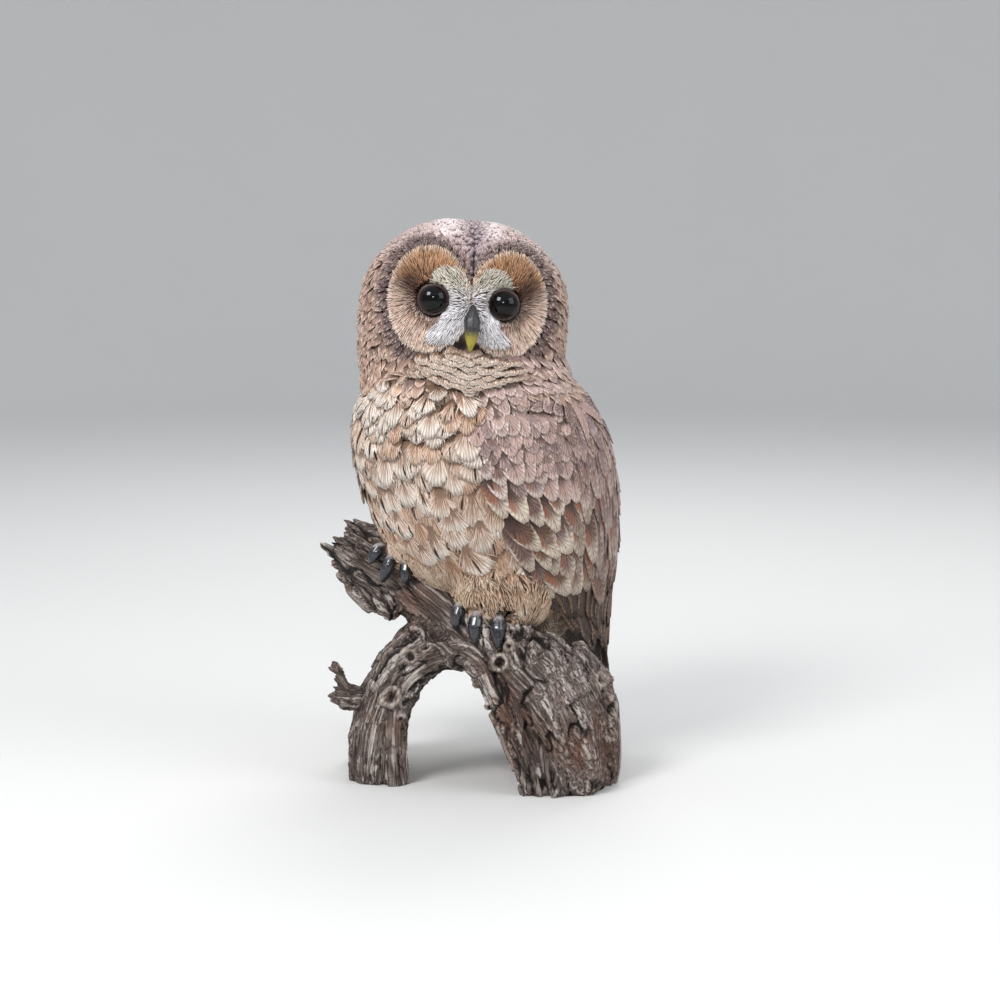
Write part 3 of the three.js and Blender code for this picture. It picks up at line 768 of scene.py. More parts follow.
def featherPaint(name, look):
    look = {**plainLook, **look}
    material, wire, shader, place = newMaterial(name)
    across, along, _ = wire.attribute("vane").parts()
    shaft, tip, _ = wire.attribute("marks").parts()
    wide, length, cover = wire.attribute("span").parts()
    tint, edgeTint = wire.attribute("tint"), wire.attribute("edgeTint")
    off = across.maths("ABSOLUTE", across)
    drift = wire.noise(place, 420, 2) - 0.5
    if look["fan"]:  # barbs spread from the root
        x, y = across * wide * 0.5, (along + 0.25) * length
        line = x.maths("ARCTAN2", x, y) * look["lines"] + drift * 2.4
    else:  # barbs slant off the shaft
        line = (along * length * 0.5 - off * wide * 0.85) * (6.2832 / look["pitch"]) + drift * 3.0
    comb = line.maths("SINE", line) * 0.5 + 0.5
    fine = wire.noise(place, 1500, 1)
    patchy = wire.noise(place, 90, 3)
    edge = (off ** 2.0 * 0.55 + along + (patchy - 0.5) * 0.5 + drift * 0.25).rise(1.18 - look["rim"], 1.28)
    tipMask = (along + (patchy - 0.5) * 0.35 + tip - off * 0.12).rise(0.86 - look["soft"], 1.16)
    pale = edge.maths("MAXIMUM", edge * 0.85, tipMask)
    pale = pale.maths("MAXIMUM", pale, (off + drift * 0.25).rise(0.6, 0.92) * look["hem"])
    colour = pale.blend(tint, edgeTint)
    dusty = (patchy * 0.6 + fine * 0.5 + comb * 0.35).rise(0.72, 1.05) * look["dust"]
    colour = dusty.blend(colour, rgba(*look["dustTint"]))
    # one colour for the wash in the grooves and for the painted shade below
    washAndShade = rgba(*look["washAndShade"])
    groove = (1 - comb) * look["groove"] * (0.4 + along)
    colour = groove.blend(colour, washAndShade)
    flare = (across + (patchy - 0.5) * 1.2).rise(-0.1, 0.5) * along.rise(0.3, 0.5) * tip.rise(0.08, 0.2)
    flare = flare * (1 - (along + (patchy - 0.5) * 0.3).rise(0.68, 0.86)) * look["flare"]
    colour = flare.blend(colour, rgba(*look["blush"]))
    # painted shade: darker from the root up to about where the feather above stops covering it (cover)
    paintedShade = 1 - (along + (fine - 0.5) * 0.12 - cover).rise(-0.1, look["shade"])
    colour = (paintedShade * look["dim"]).blend(colour, washAndShade)
    streak = 1 - (off * wide + drift * 1.6).rise(look["shaftWide"] * 0.4, look["shaftWide"])
    streak = streak * (along + drift * 0.3).rise(0.2, 0.34) * (1 - (along + drift * 0.3).rise(0.86, 0.96))
    colour = (streak * shaft).blend(colour, rgba(*look["ink"]))
    plug(shader, "Base Color", colour)
    plug(shader, "Roughness", 0.56 + fine * 0.22 - comb * 0.06)
    height = comb * look["carve"] + fine * 0.25 - streak * 0.6
    addRelief(shader, height, 0.9, look["deep"] / 1000)
    return material


def bristlePaint(name, look):
    material, wire, shader, place = newMaterial(name)
    along = wire.attribute("vane").parts()[1]
    tint, edgeTint = wire.attribute("tint"), wire.attribute("edgeTint")
    fine = wire.noise(place, 1100, 2)
    colour = (along + (fine - 0.5) * 0.4).rise(0.25, 0.95).blend(tint, edgeTint)
    # painted shade at the root of each bristle, where it meets the skin
    colour = (1 - along.rise(0.0, look["shade"])).blend(colour, rgba(*look["washAndShade"]))
    plug(shader, "Base Color", colour)
    plug(shader, "Roughness", 0.55 + fine * 0.25)
    addRelief(shader, fine, 0.5, 0.0002)
    return material


def skinPaint(name):
    material, wire, shader, place = newMaterial(name)
    tint = wire.attribute("tint")
    coarse, fine = wire.noise(place, 160, 3), wire.noise(place, 900, 2)
    colour = (coarse * 0.7 + fine * 0.3).rise(0.35, 0.7).blend(wire.vectors("SCALE", tint, 0.55), tint)
    plug(shader, "Base Color", colour)
    plug(shader, "Roughness", 0.62 + fine * 0.2)
    addRelief(shader, coarse + fine * 0.5, 0.8, 0.0006)
    return material


paints = {
    "scales": featherPaint("scalePaint", {
        "fan": False, "pitch": 2.6, "rim": 0.36, "dust": 0.5, "dustTint": (230, 208, 194), "groove": 0.2,
        "washAndShade": (84, 64, 60), "shade": 0.3, "dim": 0.66, "shaftWide": 0.8, "ink": (70, 50, 48), "carve": 0.6,
        "deep": 0.3}),
    "breast": featherPaint("breastPaint", {
        "fan": True, "lines": 84, "rim": 0.5, "dust": 0.5, "dustTint": (246, 238, 226), "groove": 0.42,
        "washAndShade": (138, 92, 62), "shade": 0.3, "dim": 0.62, "shaftWide": 1.4, "ink": (30, 20, 18), "carve": 1.0,
        "deep": 0.8}),
    "wing": featherPaint("wingPaint", {
        "fan": False, "pitch": 2.7, "rim": 0.2, "dust": 0.26, "dustTint": (228, 210, 200), "groove": 0.26,
        "washAndShade": (60, 42, 36), "shade": 0.2, "dim": 0.8, "shaftWide": 0.9, "ink": (66, 44, 42), "carve": 0.6,
        "deep": 0.4, "flare": 0.8, "blush": (142, 88, 62), "hem": 0.12, "soft": 0.12}),
    "flight": featherPaint("flightPaint", {
        "fan": False, "pitch": 2.2, "rim": 0.1, "dust": 0.35, "dustTint": (150, 122, 104), "groove": 0.3,
        "washAndShade": (34, 25, 22), "shade": 0.2, "dim": 0.7, "shaftWide": 1.0, "ink": (34, 25, 22), "carve": 0.8,
        "deep": 0.4, "hem": 0.75}),
    "tail": featherPaint("tailPaint", {
        "fan": False, "pitch": 1.8, "rim": 0.25, "dust": 0.3, "dustTint": (120, 96, 82), "groove": 0.4,
        "washAndShade": (26, 20, 20), "shade": 0.2, "dim": 0.8, "shaftWide": 1.2, "ink": (24, 18, 18), "carve": 1.0,
        "deep": 0.4}),
    "disc": bristlePaint("discPaint", {"shade": 0.22, "washAndShade": (150, 108, 82)}),
    "white": bristlePaint("whitePaint", {"shade": 0.25, "washAndShade": (176, 168, 162)}),
    "barbs": bristlePaint("barbPaint", {"shade": 0.15, "washAndShade": (196, 160, 126)}),
    "belly": bristlePaint("bellyPaint", {"shade": 0.25, "washAndShade": (164, 128, 98)}),
    "skin": skinPaint("skinPaint"),
}


# The markings, with some painted shade and light, shared by the skin and the feathers.
tones = {
    "side": rgb(164, 132, 118), "sideEdge": rgb(228, 204, 186),
    # crown: lighter and cooler than the side, partly the crown's own colour and partly painted light from
    # above
    "crown": rgb(178, 154, 150), "crownEdge": rgb(228, 210, 206),
    "patch": rgb(230, 214, 212), "patchEdge": rgb(246, 238, 236),
    "stripe": rgb(148, 132, 140), "stripeEdge": rgb(188, 174, 184),
    "rim": rgb(80, 62, 62), "rimEdge": rgb(132, 108, 104),
    "ochre": rgb(142, 96, 62), "ochreEdge": rgb(206, 168, 132),
    "tan": rgb(194, 164, 146), "tanEdge": rgb(234, 218, 204),
    # corner: painted shade of the brow crease over each eye's outer corner
    "corner": rgb(64, 40, 30), "cornerShadeEdge": rgb(100, 66, 48),
    "lidGrey": rgb(128, 102, 96), "lobe": rgb(168, 160, 144), "lobeEdge": rgb(233, 227, 213),
    "white": rgb(210, 206, 208), "whiteEdge": rgb(244, 243, 246),
    "chin": rgb(204, 172, 148), "chinEdge": rgb(252, 243, 232),
    "gold": rgb(172, 124, 88), "breast": rgb(196, 159, 132), "cream": rgb(239, 230, 219),
    "belly": rgb(182, 154, 128), "bellyEdge": rgb(226, 211, 190),
    "covert": rgb(180, 150, 141), "covertEdge": rgb(226, 208, 199),
    "russet": rgb(96, 64, 47), "russetEdge": rgb(220, 205, 186),
    # flight: the flight feathers' dark brown, also used as painted shade on the skin under the wings
    "mauve": rgb(122, 100, 102), "flight": rgb(54, 38, 31), "flightEdge": rgb(146, 117, 97),
    "tail": rgb(62, 50, 46), "tailEdge": rgb(112, 92, 80),
    "toe": rgb(150, 140, 136), "toeEdge": rgb(226, 222, 220),
    "streak": rgb(66, 46, 38), "streakEdge": rgb(44, 32, 28),
    # painted shade in the gape beside the bill and along the cleft between the discs
    "gapeShade": rgb(52, 38, 33), "cleftShade": rgb(70, 54, 52),
}
disc = {"middle": (27.4, 4.0), "half": (27.2, 36.5)}  # the oval of each facial disc, across and up


def discReach(p):  # 1 on the rim of a facial disc, less inside; large behind the face
    (x, z), (wide, tall) = disc["middle"], disc["half"]
    out = np.hypot((np.abs(p[:, 0]) - x) / wide, (p[:, 2] - z) / tall)
    return out + 2 * smoothStep(p[:, 1], -18, 2)


def headTones(p):  # tint and edge tint of the scales of the head
    x, y, z = p.T
    # lighter and cooler towards the crown: partly the crown's own colour, partly painted light from above
    crown = smoothStep(z, 22, 46)
    tint = mixed(tones["side"], tones["crown"], crown)
    edge = mixed(tones["sideEdge"], tones["crownEdge"], crown)
    front = 1 - smoothStep(y, -6, 16)
    patch = (bump(x + 15, 9) + bump(x - 13, 8)) * smoothStep(z, 42, 50) * front
    stripe = bump(x - browMiddle, 3.2 + 4.4 * smoothStep(z, 18, 46)) * smoothStep(z, 8, 20)
    stripe = stripe * (1 - smoothStep(y, 0, 40))
    rim = (1 - smoothStep(discReach(p), 1.08, 1.2)) * (1 - 0.7 * bump(x - browMiddle, 6))
    rim = rim * (1 - smoothStep(-z, 32, 40) * bump(x - chinMiddle, 24))
    for weight, name in ((np.clip(patch, 0, 1), "patch"), (stripe, "stripe"), (rim, "rim")):
        tint, edge = mixed(tint, tones[name], weight), mixed(edge, tones[name + "Edge"], weight)
    return tint, edge


def discTones(p):  # tint and edge tint of the bristles of the facial discs
    side, z = np.abs(p[:, 0]), p[:, 2]
    eyeX, _, eyeZ = owl["eye"]
    angle = np.degrees(np.arctan2(z - eyeZ, side - eyeX))  # 0 outwards, 90 up
    away = np.hypot(side - eyeX, z - eyeZ)
    high = smoothStep(angle, 8, 40) * (1 - smoothStep(angle, 150, 178))
    tint = mixed(tones["tan"], tones["ochre"], high)
    edge = mixed(tones["tanEdge"], tones["ochreEdge"], high)
    rim = smoothStep(discReach(p), 0.76, 0.98)
    tint = mixed(tint, tones["tanEdge"], 0.6 * rim)
    edge = mixed(edge, tones["cream"], 0.6 * rim)
    # painted shade: a dark band from each eye's outer upper corner outwards, under the brow
    corner = bump(angle - 30, 28) * (1 - smoothStep(away, 15, 31))
    near = (1 - smoothStep(away, 11, 20)) * (1 - high) * 0.8
    tint, edge = mixed(tint, tones["lidGrey"], near), mixed(edge, tones["lidGrey"], 0.7 * near)
    tint, edge = mixed(tint, tones["corner"], corner), mixed(edge, tones["cornerShadeEdge"], corner)
    return tint, edge


def bodyTones(p):  # tint and edge tint of the body's feathers, in the owl's frame
    angle = aroundBody(p)
    z = p[:, 2]
    low = smoothStep(-z, -185, -135)
    tint = mixed(tones["breast"], tones["belly"], low)
    edge = mixed(tones["cream"], tones["bellyEdge"], low)
    golden = np.clip(cloud(p / 26, 3) * 0.9 + smoothStep(-angle, 25, 70) * 0.8, 0, 1)
    tint = mixed(tint, tones["gold"], golden * (1 - 0.5 * low))
    edge = mixed(edge, tones["breast"], np.clip(cloud(p / 17, 8) * 1.2 - 0.25, 0, 0.75))
    back = smoothStep(np.abs(angle), 52, 80) * smoothStep(z, 205, 245)
    back = np.maximum(back, smoothStep(np.abs(angle), 110, 130) * smoothStep(z, 110, 150))
    return mixed(tint, tones["side"], back), mixed(edge, tones["covertEdge"], back)


def addSkinTonesAndShade(made):  # the coat's markings made darker as painted shade between the feathers, with dark painted shade on the bare places under the wings, at the bill and in the cleft
    points, _ = readPoints(made.data)
    body, head = toOwl(points), toHead(points)
    # painted shade: where the skin shows between the feathers it is darker than their tones
    tint = 0.7 * bodyTones(body)[0]
    degrees = np.abs(aroundBody(body))
    # painted shade under the wings and the lower back, in the flight feathers' dark brown
    tint = mixed(tint, tones["flight"], smoothStep(degrees, 74, 96) * smoothStep(-body[:, 2], -172, -150))
    inHead = smoothStep(body[:, 2], 284, 296)
    inDisc = 1 - smoothStep(discReach(head), 0.98, 1.05)
    scales = mixed(0.95 * headTones(head)[0], 0.85 * discTones(head)[0], inDisc)
    # painted shade in the hollow of the gape beside the bill
    gapeShade = np.hypot(np.abs(head[:, 0] - chinMiddle) - 5.5, (head[:, 2] + 26) / 1.2)
    scales = mixed(scales, tones["gapeShade"], np.clip(1.3 * bump(gapeShade, 5.5) * (head[:, 1] < -20), 0, 1))
    tint = mixed(tint, scales, inHead)
    # painted shade along the cleft between the discs
    cleftShade = bump(head[:, 0] - 1.4, 2.0) * smoothStep(head[:, 2], -4, 2) * (head[:, 1] < -10)
    tint = mixed(tint, tones["cleftShade"], 0.9 * cleftShade * inHead)
    setAttribute(made.data, "tint", tint)


# The coat of the head.
headCoat = {  # spacings in millimetres
    "seed": 11, "samples": 110000, "crown": 2.9, "side": 4.9, "rim": 3.0, "nape": 6.2, "brow": -1.25}


def addHeadScales(made):
    rng = np.random.default_rng(headCoat["seed"])
    root, up = skinSamples(made, headCoat["samples"], rng)
    p = toHead(root)
    reach = discReach(p)
    chin = smoothStep(-p[:, 2], 28, 36) * bump(p[:, 0] - chinMiddle, 34) * (p[:, 1] < -5)
    keep = (toOwl(root)[:, 2] > 280) & (reach > 0.985) & (chin < 0.45) & (p[:, 2] > -58)
    keep &= ~((np.abs(p[:, 0] - browMiddle) < 6) & (p[:, 2] < 10) & (p[:, 1] < 0))  # not over the bill
    keep &= ~((np.abs(p[:, 0] - chinMiddle) < 24) & (p[:, 2] < -16) & (p[:, 2] > -42) & (p[:, 1] < -10))
    root, up, p, reach = only(keep, root, up, p, reach)
    brow = bump(p[:, 0] - browMiddle, 11) * (p[:, 1] < 20)
    crown = np.maximum(smoothStep(p[:, 2], 24, 46), brow * (p[:, 2] > 10))
    back = smoothStep(p[:, 1], 5, 40)
    rim = (1 - smoothStep(reach, 1.06, 1.18)) * (1 - brow)
    spacing = headCoat["side"] + (headCoat["crown"] - headCoat["side"]) * crown
    spacing = spacing + (headCoat["rim"] - spacing) * rim
    spacing = spacing + (headCoat["nape"] - spacing) * back
    spacing = spacing + headCoat["brow"] * brow
    kept = spread(root, spacing, rng)
    root, up, p, spacing = only(kept, root, up, p, spacing)
    rim, crown, back, brow = only(kept, rim, crown, back, brow)
    x, z = disc["middle"]
    radial = np.stack([np.sign(p[:, 0]) * (np.abs(p[:, 0]) - x), 0 * rim, p[:, 2] - z], -1)
    radial = unit(radial) * (rim * 0.8)[:, None]  # round a disc they point away from it
    lie = np.stack([0 * crown, 0.25 + 0.9 * crown, -1.0 + 0.95 * crown], -1) + radial
    lie[:, 0] += 0.25 * np.sign(p[:, 0]) * (1 - back)
    lie[:, 2] += 1.6 * brow * (p[:, 2] < 44)
    tint, edge = headTones(p)
    hem = smoothStep(-p[:, 2], 40, 50)
    size = {
        "width": spacing * (1.36 + 0.14 * crown), "length": spacing * (1.8 + 0.3 * (1 - crown) + 0.7 * hem),
        "thick": 1.1 + 0.5 * (1 - crown) - 0.35 * brow, "base": 0.5 - 0.2 * crown,
        "lift": 1.0 + 2.0 * (1 - crown) - 0.5 * rim - 0.6 * brow, "hug": 1 - 0.8 * hem,
        "vary": 0.15, "stray": 0.2}
    plan = makePlan(root, up, headDirection(lie), rng, size, {
        "tint": tint, "edgeTint": edge, "shaft": 0.15, "tip": 0.06, "cover": 0.42 - 0.2 * crown,
        "uneven": 0.14})
    return layFeathers("head_scales", plan, "scale", made, paints["scales"], ragged=0.8, frizz=0.35)


discCoat = {"seed": 21, "samples": 420000, "spacing": 0.76, "width": 0.8, "length": (2.4, 8.5),
            "eyeGap": 10.8}


def addDisc(made, name, sign):  # bristles that spread from the eye to the rim of the disc
    rng = np.random.default_rng(discCoat["seed"] + sign)
    root, up = skinSamples(made, discCoat["samples"], rng)
    p = toHead(root)
    eyeX, _, eyeZ = owl["eye"]
    away = np.hypot(np.abs(p[:, 0]) - eyeX, p[:, 2] - eyeZ)
    keep = (p[:, 0] * sign > -1) & (discReach(p) < 0.94) & (p[:, 1] < -10) & (away > discCoat["eyeGap"])
    keep &= sign * (p[:, 0] - 1.8) > 0.4
    root, up, p = only(keep, root, up, p)
    kept = spread(root, np.full(len(root), discCoat["spacing"]), rng)
    root, up, p = only(kept, root, up, p)
    radial = np.stack([p[:, 0] - sign * eyeX, 0 * p[:, 0], p[:, 2] - eyeZ], -1)
    away, reach = np.linalg.norm(radial, axis=1), discReach(p)
    lie = unit(radial)
    lie[:, 2] += 0.15 * smoothStep(p[:, 2], 10, 24) - 0.22 * smoothStep(-p[:, 2], -6, 6)
    lie[:, 0] -= 0.2 * sign * smoothStep(-np.abs(p[:, 0]), -18, -4) * smoothStep(p[:, 2], 14, 26)
    room = np.clip((1 - reach) * 30 + 1.6, *discCoat["length"])  # as long as fits inside the rim
    tint, edge = discTones(p)
    size = {"width": discCoat["width"], "length": room * (0.55 + 0.45 * smoothStep(away, 11, 18)),
            "thick": 0.7, "base": 0.05, "lift": 0.95 + 0.9 * smoothStep(reach, 0.6, 0.95),
            "vary": 0.16, "stray": 0.07}
    plan = makePlan(root, up, headDirection(lie), rng, size, {"tint": tint, "edgeTint": edge, "uneven": 0.3})
    return layFeathers(name, plan, "bristle", made, paints["disc"])


whiteCoat = {  # the band's knots give the place across and up, and half the band's width
    "seed": 31, "samples": 520000, "spacing": 0.66, "focus": (-0.5, 5.0), "eyeGap": 11.5,
    "band": [(22.5, 17.5, 3.2), (17, 20, 5.6), (11.5, 18.5, 7.0), (7.4, 12, 6.4), (6.6, 5, 6.0),
             (6.8, -3, 6.6), (9, -9, 7.6), (12.5, -14, 7.6), (17.5, -16.5, 6.2), (22.5, -18.5, 3.8)]}


def addWhite(made, name, sign):  # the pale band from the brow down beside the bill
    rng = np.random.default_rng(whiteCoat["seed"] + sign)
    root, up = skinSamples(made, whiteCoat["samples"], rng)
    p = toHead(root)
    side = sign * (p[:, 0] - 1.2)
    knots = np.array(whiteCoat["band"], float)
    near = np.full(len(p), 9.0)
    for a, b in zip(knots, knots[1:]):
        span = b[:2] - a[:2]
        t = np.clip(((side - a[0]) * span[0] + (p[:, 2] - a[1]) * span[1]) / (span @ span), 0, 1)
        gap = np.hypot(side - a[0] - t * span[0], p[:, 2] - a[1] - t * span[1])
        near = np.minimum(near, gap / (a[2] + t * (b[2] - a[2])))
    eyeX, _, eyeZ = owl["eye"]
    away = np.hypot(sign * p[:, 0] - eyeX, p[:, 2] - eyeZ)
    keep = (near < 1) & (p[:, 1] < -10) & (away > whiteCoat["eyeGap"]) & (side > 1.0)
    keep &= (np.abs(p[:, 0] - chinMiddle) > 6 - 0.5 * (p[:, 2] + 26)) | (p[:, 2] > -18)
    root, up, p, side, near = only(keep, root, up, p, side, near)
    kept = spread(root, np.full(len(root), whiteCoat["spacing"]), rng)
    root, up, p, side, near = only(kept, root, up, p, side, near)
    fx, fz = whiteCoat["focus"]
    lie = np.stack([sign * (side - fx), 0 * side, p[:, 2] - fz], -1)
    far = np.linalg.norm(lie, axis=1)
    lie = unit(lie)
    low = smoothStep(-p[:, 2], -4, 8)
    lie[:, 2] -= 0.15 * low
    middle = bump(p[:, 2] - 6, 9) * bump(side - 5, 5)
    length = 2.4 + 0.08 * far + 1.4 * low - 0.5 * middle
    high = smoothStep(p[:, 2], 4, 18)
    tint = mixed(tones["white"], tones["lobe"], high)
    edge = mixed(tones["whiteEdge"], tones["lobeEdge"], high)
    size = {"width": 0.82, "length": length, "thick": 0.8, "base": 0.8 + 1.4 * (1 - near), "lift": 1.1,
            "vary": 0.15, "stray": 0.07}
    plan = makePlan(root, up, headDirection(lie), rng, size, {"tint": tint, "edgeTint": edge, "uneven": 0.16})
    return layFeathers(name, plan, "bristle", made, paints["white"])


def castTo(tree, origin, direction):  # the first point that the ray meets, and the normal there
    hit = tree.ray_cast(Vector(origin), Vector(direction))
    return (np.array(hit[0]), np.array(hit[1])) if hit[0] is not None else (None, None)


def castRound(tree, centre, height, angle):  # the same, level and outwards from the owl's own upright line
    return castTo(tree, fromOwl([*centre, height]), levelWay(angle))


chinCoat = {"seed": 41, "rows": 6, "top": -31.5, "step": 4.4, "spacing": 2.8, "slope": 0.46, "bend": 0.004,
            "half": 21, "wider": 3.8, "from": -31.0, "to": -53.0}


def addChin(made, tree):  # rolls of short feathers that meet in a V under the bill and bridge to the breast
    rng = np.random.default_rng(chinCoat["seed"])
    root, up, lie, level = [], [], [], []
    forward = headDirection(np.array([0.0, -1.0, 0.0]))
    for j in range(chinCoat["rows"]):
        reach = chinCoat["half"] + chinCoat["wider"] * j
        count = int(2 * reach / chinCoat["spacing"])
        for i in range(count + 1):
            x = -reach + 2 * reach * i / count + rng.normal(0, 0.15)
            side = abs(x)
            z = chinCoat["top"] - chinCoat["step"] * j + chinCoat["slope"] * side - chinCoat["bend"] * side**2
            z += 0.6 * math.sin(0.3 * x + 2.1 * j) * min(1, side / 8)
            p, n = castTo(tree, fromHead([x + chinMiddle, 0, z]), forward)
            high, _ = castTo(tree, fromHead([x + chinMiddle, 0, chinCoat["from"]]), forward)
            low, _ = castTo(tree, fromHead([x + chinMiddle, 0, chinCoat["to"]]), forward)
            if p is None or high is None or low is None or discReach(toHead(p[None]))[0] < 1.01:
                continue
            place, high, low = toHead(p), toHead(high), toHead(low)
            t = (chinCoat["from"] - z) / (chinCoat["from"] - chinCoat["to"])
            if t > 0:  # below the chin they bridge the hollow of the throat
                place[1] = high[1] + (low[1] - high[1]) * min(t, 1) ** 0.85
                n = unit(headDirection(np.array([0, chinCoat["to"] - chinCoat["from"], high[1] - low[1]])))
            root.append(fromHead(place))
            up.append(n)
            lie.append((np.sign(x) * (0.3 * smoothStep(side, 24, 38) - 0.2 * bump(side, 14)), -0.6, -1))
            level.append(t > 0)
    root, up, lie, level = map(np.array, (root, up, lie, level))
    p = toHead(root)
    outer = smoothStep(np.abs(p[:, 0] - chinMiddle), 26, 40)
    tint = mixed(tones["chin"], tones["side"], outer)
    edge = mixed(tones["chinEdge"], tones["sideEdge"], outer * 0.8)
    size = {"width": 7.8, "length": 10.4, "thick": 1.8, "base": 0.5, "lift": 3.8,
            "hug": np.where(level, 0, 0.7), "vary": 0.05, "stray": 0.04}
    plan = makePlan(root, unit(up), headDirection(lie), rng, size, {
        "tint": tint, "edgeTint": edge, "shaft": 0, "tip": 0.14, "cover": np.where(level, 0.42, -0.1),
        "uneven": 0.05})
    return layFeathers("chin_ruff", plan, "tuft", made, paints["breast"], ragged=0.5, frizz=0.2), plan


collarCoat = {"seed": 45, "heights": (303, 298.5, 294, 290, 286.5), "from": 304.0, "to": 284.0, "width": 9.0,
              "radius": (60, 3), "open": (46, 24, 1.5)}  # open: where the chin is, and how wide, in degrees


def addCollar(made, tree):  # overlapping feathers that bridge from the head to the shoulders, all round
    rng = np.random.default_rng(collarCoat["seed"])
    root, up, lie, turn = [], [], [], []
    centre = headCentre[:2]
    radius, wider = collarCoat["radius"]
    middle, half, more = collarCoat["open"]
    for j, z in enumerate(collarCoat["heights"]):
        count = int(2 * math.pi * (radius + wider * j) / (collarCoat["width"] * 0.62))
        for i in range(count):
            degrees = 360 * (i + 0.5 * (j % 2) + rng.normal(0, 0.1)) / count - 180
            if abs(degrees - middle) < half + more * j:
                continue
            angle = math.radians(degrees)
            high, _ = castRound(tree, centre, collarCoat["from"], angle)
            low, _ = castRound(tree, centre, collarCoat["to"], angle)
            if high is None or low is None:
                continue
            high, low = toOwl(high), toOwl(low)
            t = (collarCoat["from"] - z) / (collarCoat["from"] - collarCoat["to"])
            place = high + (low - high) * t + np.array([0, 0, rng.normal(0, 0.6)])
            slope = unit(low - high)
            outward = np.array([math.sin(angle), -math.cos(angle), 0])
            normal = unit(outward - slope * (outward @ slope))
            root.append(fromOwl(place))
            up.append(owlDirection(normal))
            lie.append(owlDirection(slope))
            turn.append(degrees)
    root, up, lie, turn = map(np.array, (root, up, lie, turn))
    front = 1 - smoothStep(np.abs(turn + 20), 55, 80)
    tint = mixed(tones["covert"], tones["breast"], front)
    edge = mixed(tones["covertEdge"], tones["cream"], 0.3 * front)
    size = {"width": collarCoat["width"], "length": 13.5, "thick": 1.5, "base": 0.5, "lift": 2.6, "hug": 0,
            "vary": 0.12, "stray": 0.12}
    plan = makePlan(root, up, lie, rng, size, {
        "tint": tint, "edgeTint": edge, "shaft": 0.15, "tip": 0.05, "cover": 0.42, "uneven": 0.12})
    return layFeathers("collar_feathers", plan, "pad", made, paints["scales"], ragged=1.0, frizz=0.4)


# The coat of the body.
bodyCoat = {"seed": 51, "top": 288, "bottom": 84, "row": 9.8, "width": 16.0, "length": 21.0}


def addBody(made, tree, logTree):  # rows of fans down the breast, the flanks and the back
    rng = np.random.default_rng(bodyCoat["seed"])
    root, up, lie, size = [], [], [], []
    z = bodyCoat["top"]
    while z > bodyCoat["bottom"]:
        small = float(smoothStep(z, 240, 276))
        fine = float(smoothStep(-z, -150, -110))
        width = bodyCoat["width"] * (1 - 0.30 * small) * (1 - 0.25 * fine)
        middle = (frontAt(z) + backAt(z)) / 2 - 12 * float(smoothStep(-z, -130, -90))
        girth = math.pi * (halfAt(z) + (backAt(z) - frontAt(z)) / 2)
        count = int(girth / (width * 0.74))
        shift = rng.random()
        for i in range(count):
            angle = 2 * math.pi * (i + shift + rng.normal(0, 0.17)) / count - math.pi
            degrees = (math.degrees(angle) + 180) % 360 - 180
            if wingFront(z) + 5 < abs(degrees) < wingBack(z) + 9 and 84 < z < 262:  # under a wing
                continue
            if z > 250 and abs(degrees) > 46:  # under the shoulder scales
                continue
            tucked = z > 282 and degrees > -8  # flat under the chin's rolls
            height = 285 + rng.normal(0, 1) if tucked else z + rng.normal(0, 2.1)
            p, n = castRound(tree, (0, middle), height, angle)
            if p is None:
                continue
            near = logTree.find_nearest(Vector(p))
            if near[0] is not None and (Vector(p) - near[0]).dot(near[1]) < -0.001:
                continue
            root.append(p)
            up.append(n)
            slant = 0.5 * float(smoothStep(-z, -240, -125)) * float(smoothStep(degrees, -30, 60))
            lie.append((slant * math.cos(angle), slant * math.sin(angle), -1))
            size.append((width, bodyCoat["length"] * (1 - 0.2 * small) * (1 - 0.12 * fine), tucked))
        z -= bodyCoat["row"] * (1 - 0.16 * small) * (1 - 0.2 * fine)
    root, up, lie, size = map(np.array, (root, up, lie, size))
    p = toOwl(root)
    degrees = aroundBody(p)
    tint, edge = bodyTones(p)
    shaggy = smoothStep(p[:, 2], 222, 258)
    low = smoothStep(-p[:, 2], -150, -115)
    chance, pale = rng.random((2, len(p)))
    breast = 1 - smoothStep(np.abs(degrees), 70, 100)
    pale = smoothStep(pale, 0.35, 0.65) * (1 - 0.7 * low)
    tint, edge = mixed(tint, edge, 0.3 * pale), mixed(edge, tones["breast"], 0.5 * (1 - pale) * breast)
    big, flat = 1 + 0.16 * pale, size[:, 2]
    sizes = {
        "width": size[:, 0] * big, "length": size[:, 1] * big,
        "thick": 2.7 - 0.9 * low - 0.6 * shaggy + 0.5 * pale - flat,
        "base": 0.1 + 0.5 * (shaggy + pale) * (1 - flat),
        "lift": 1.5 + (3.4 * shaggy * breast + 0.5 * pale) * (1 - flat) - 0.9 * flat,
        "vary": 0.14, "stray": 0.15}
    plan = makePlan(root, up, owlDirection(lie), rng, sizes, {
        "tint": tint, "edgeTint": edge, "shaft": np.where(chance < 0.4, 1.0, 0.0) * (0.2 + 0.8 * breast),
        "tip": 0.06 + 0.34 * pale, "cover": 0.44, "uneven": 0.07})
    made = layFeathers("body_feathers", plan, "pad", made, paints["breast"], ragged=1.6, frizz=0.8)
    return made, plan


barbCoat = {"seed": 53, "start": 0.2, "streakStart": 0.34, "width": 0.85, "streak": 0.75}


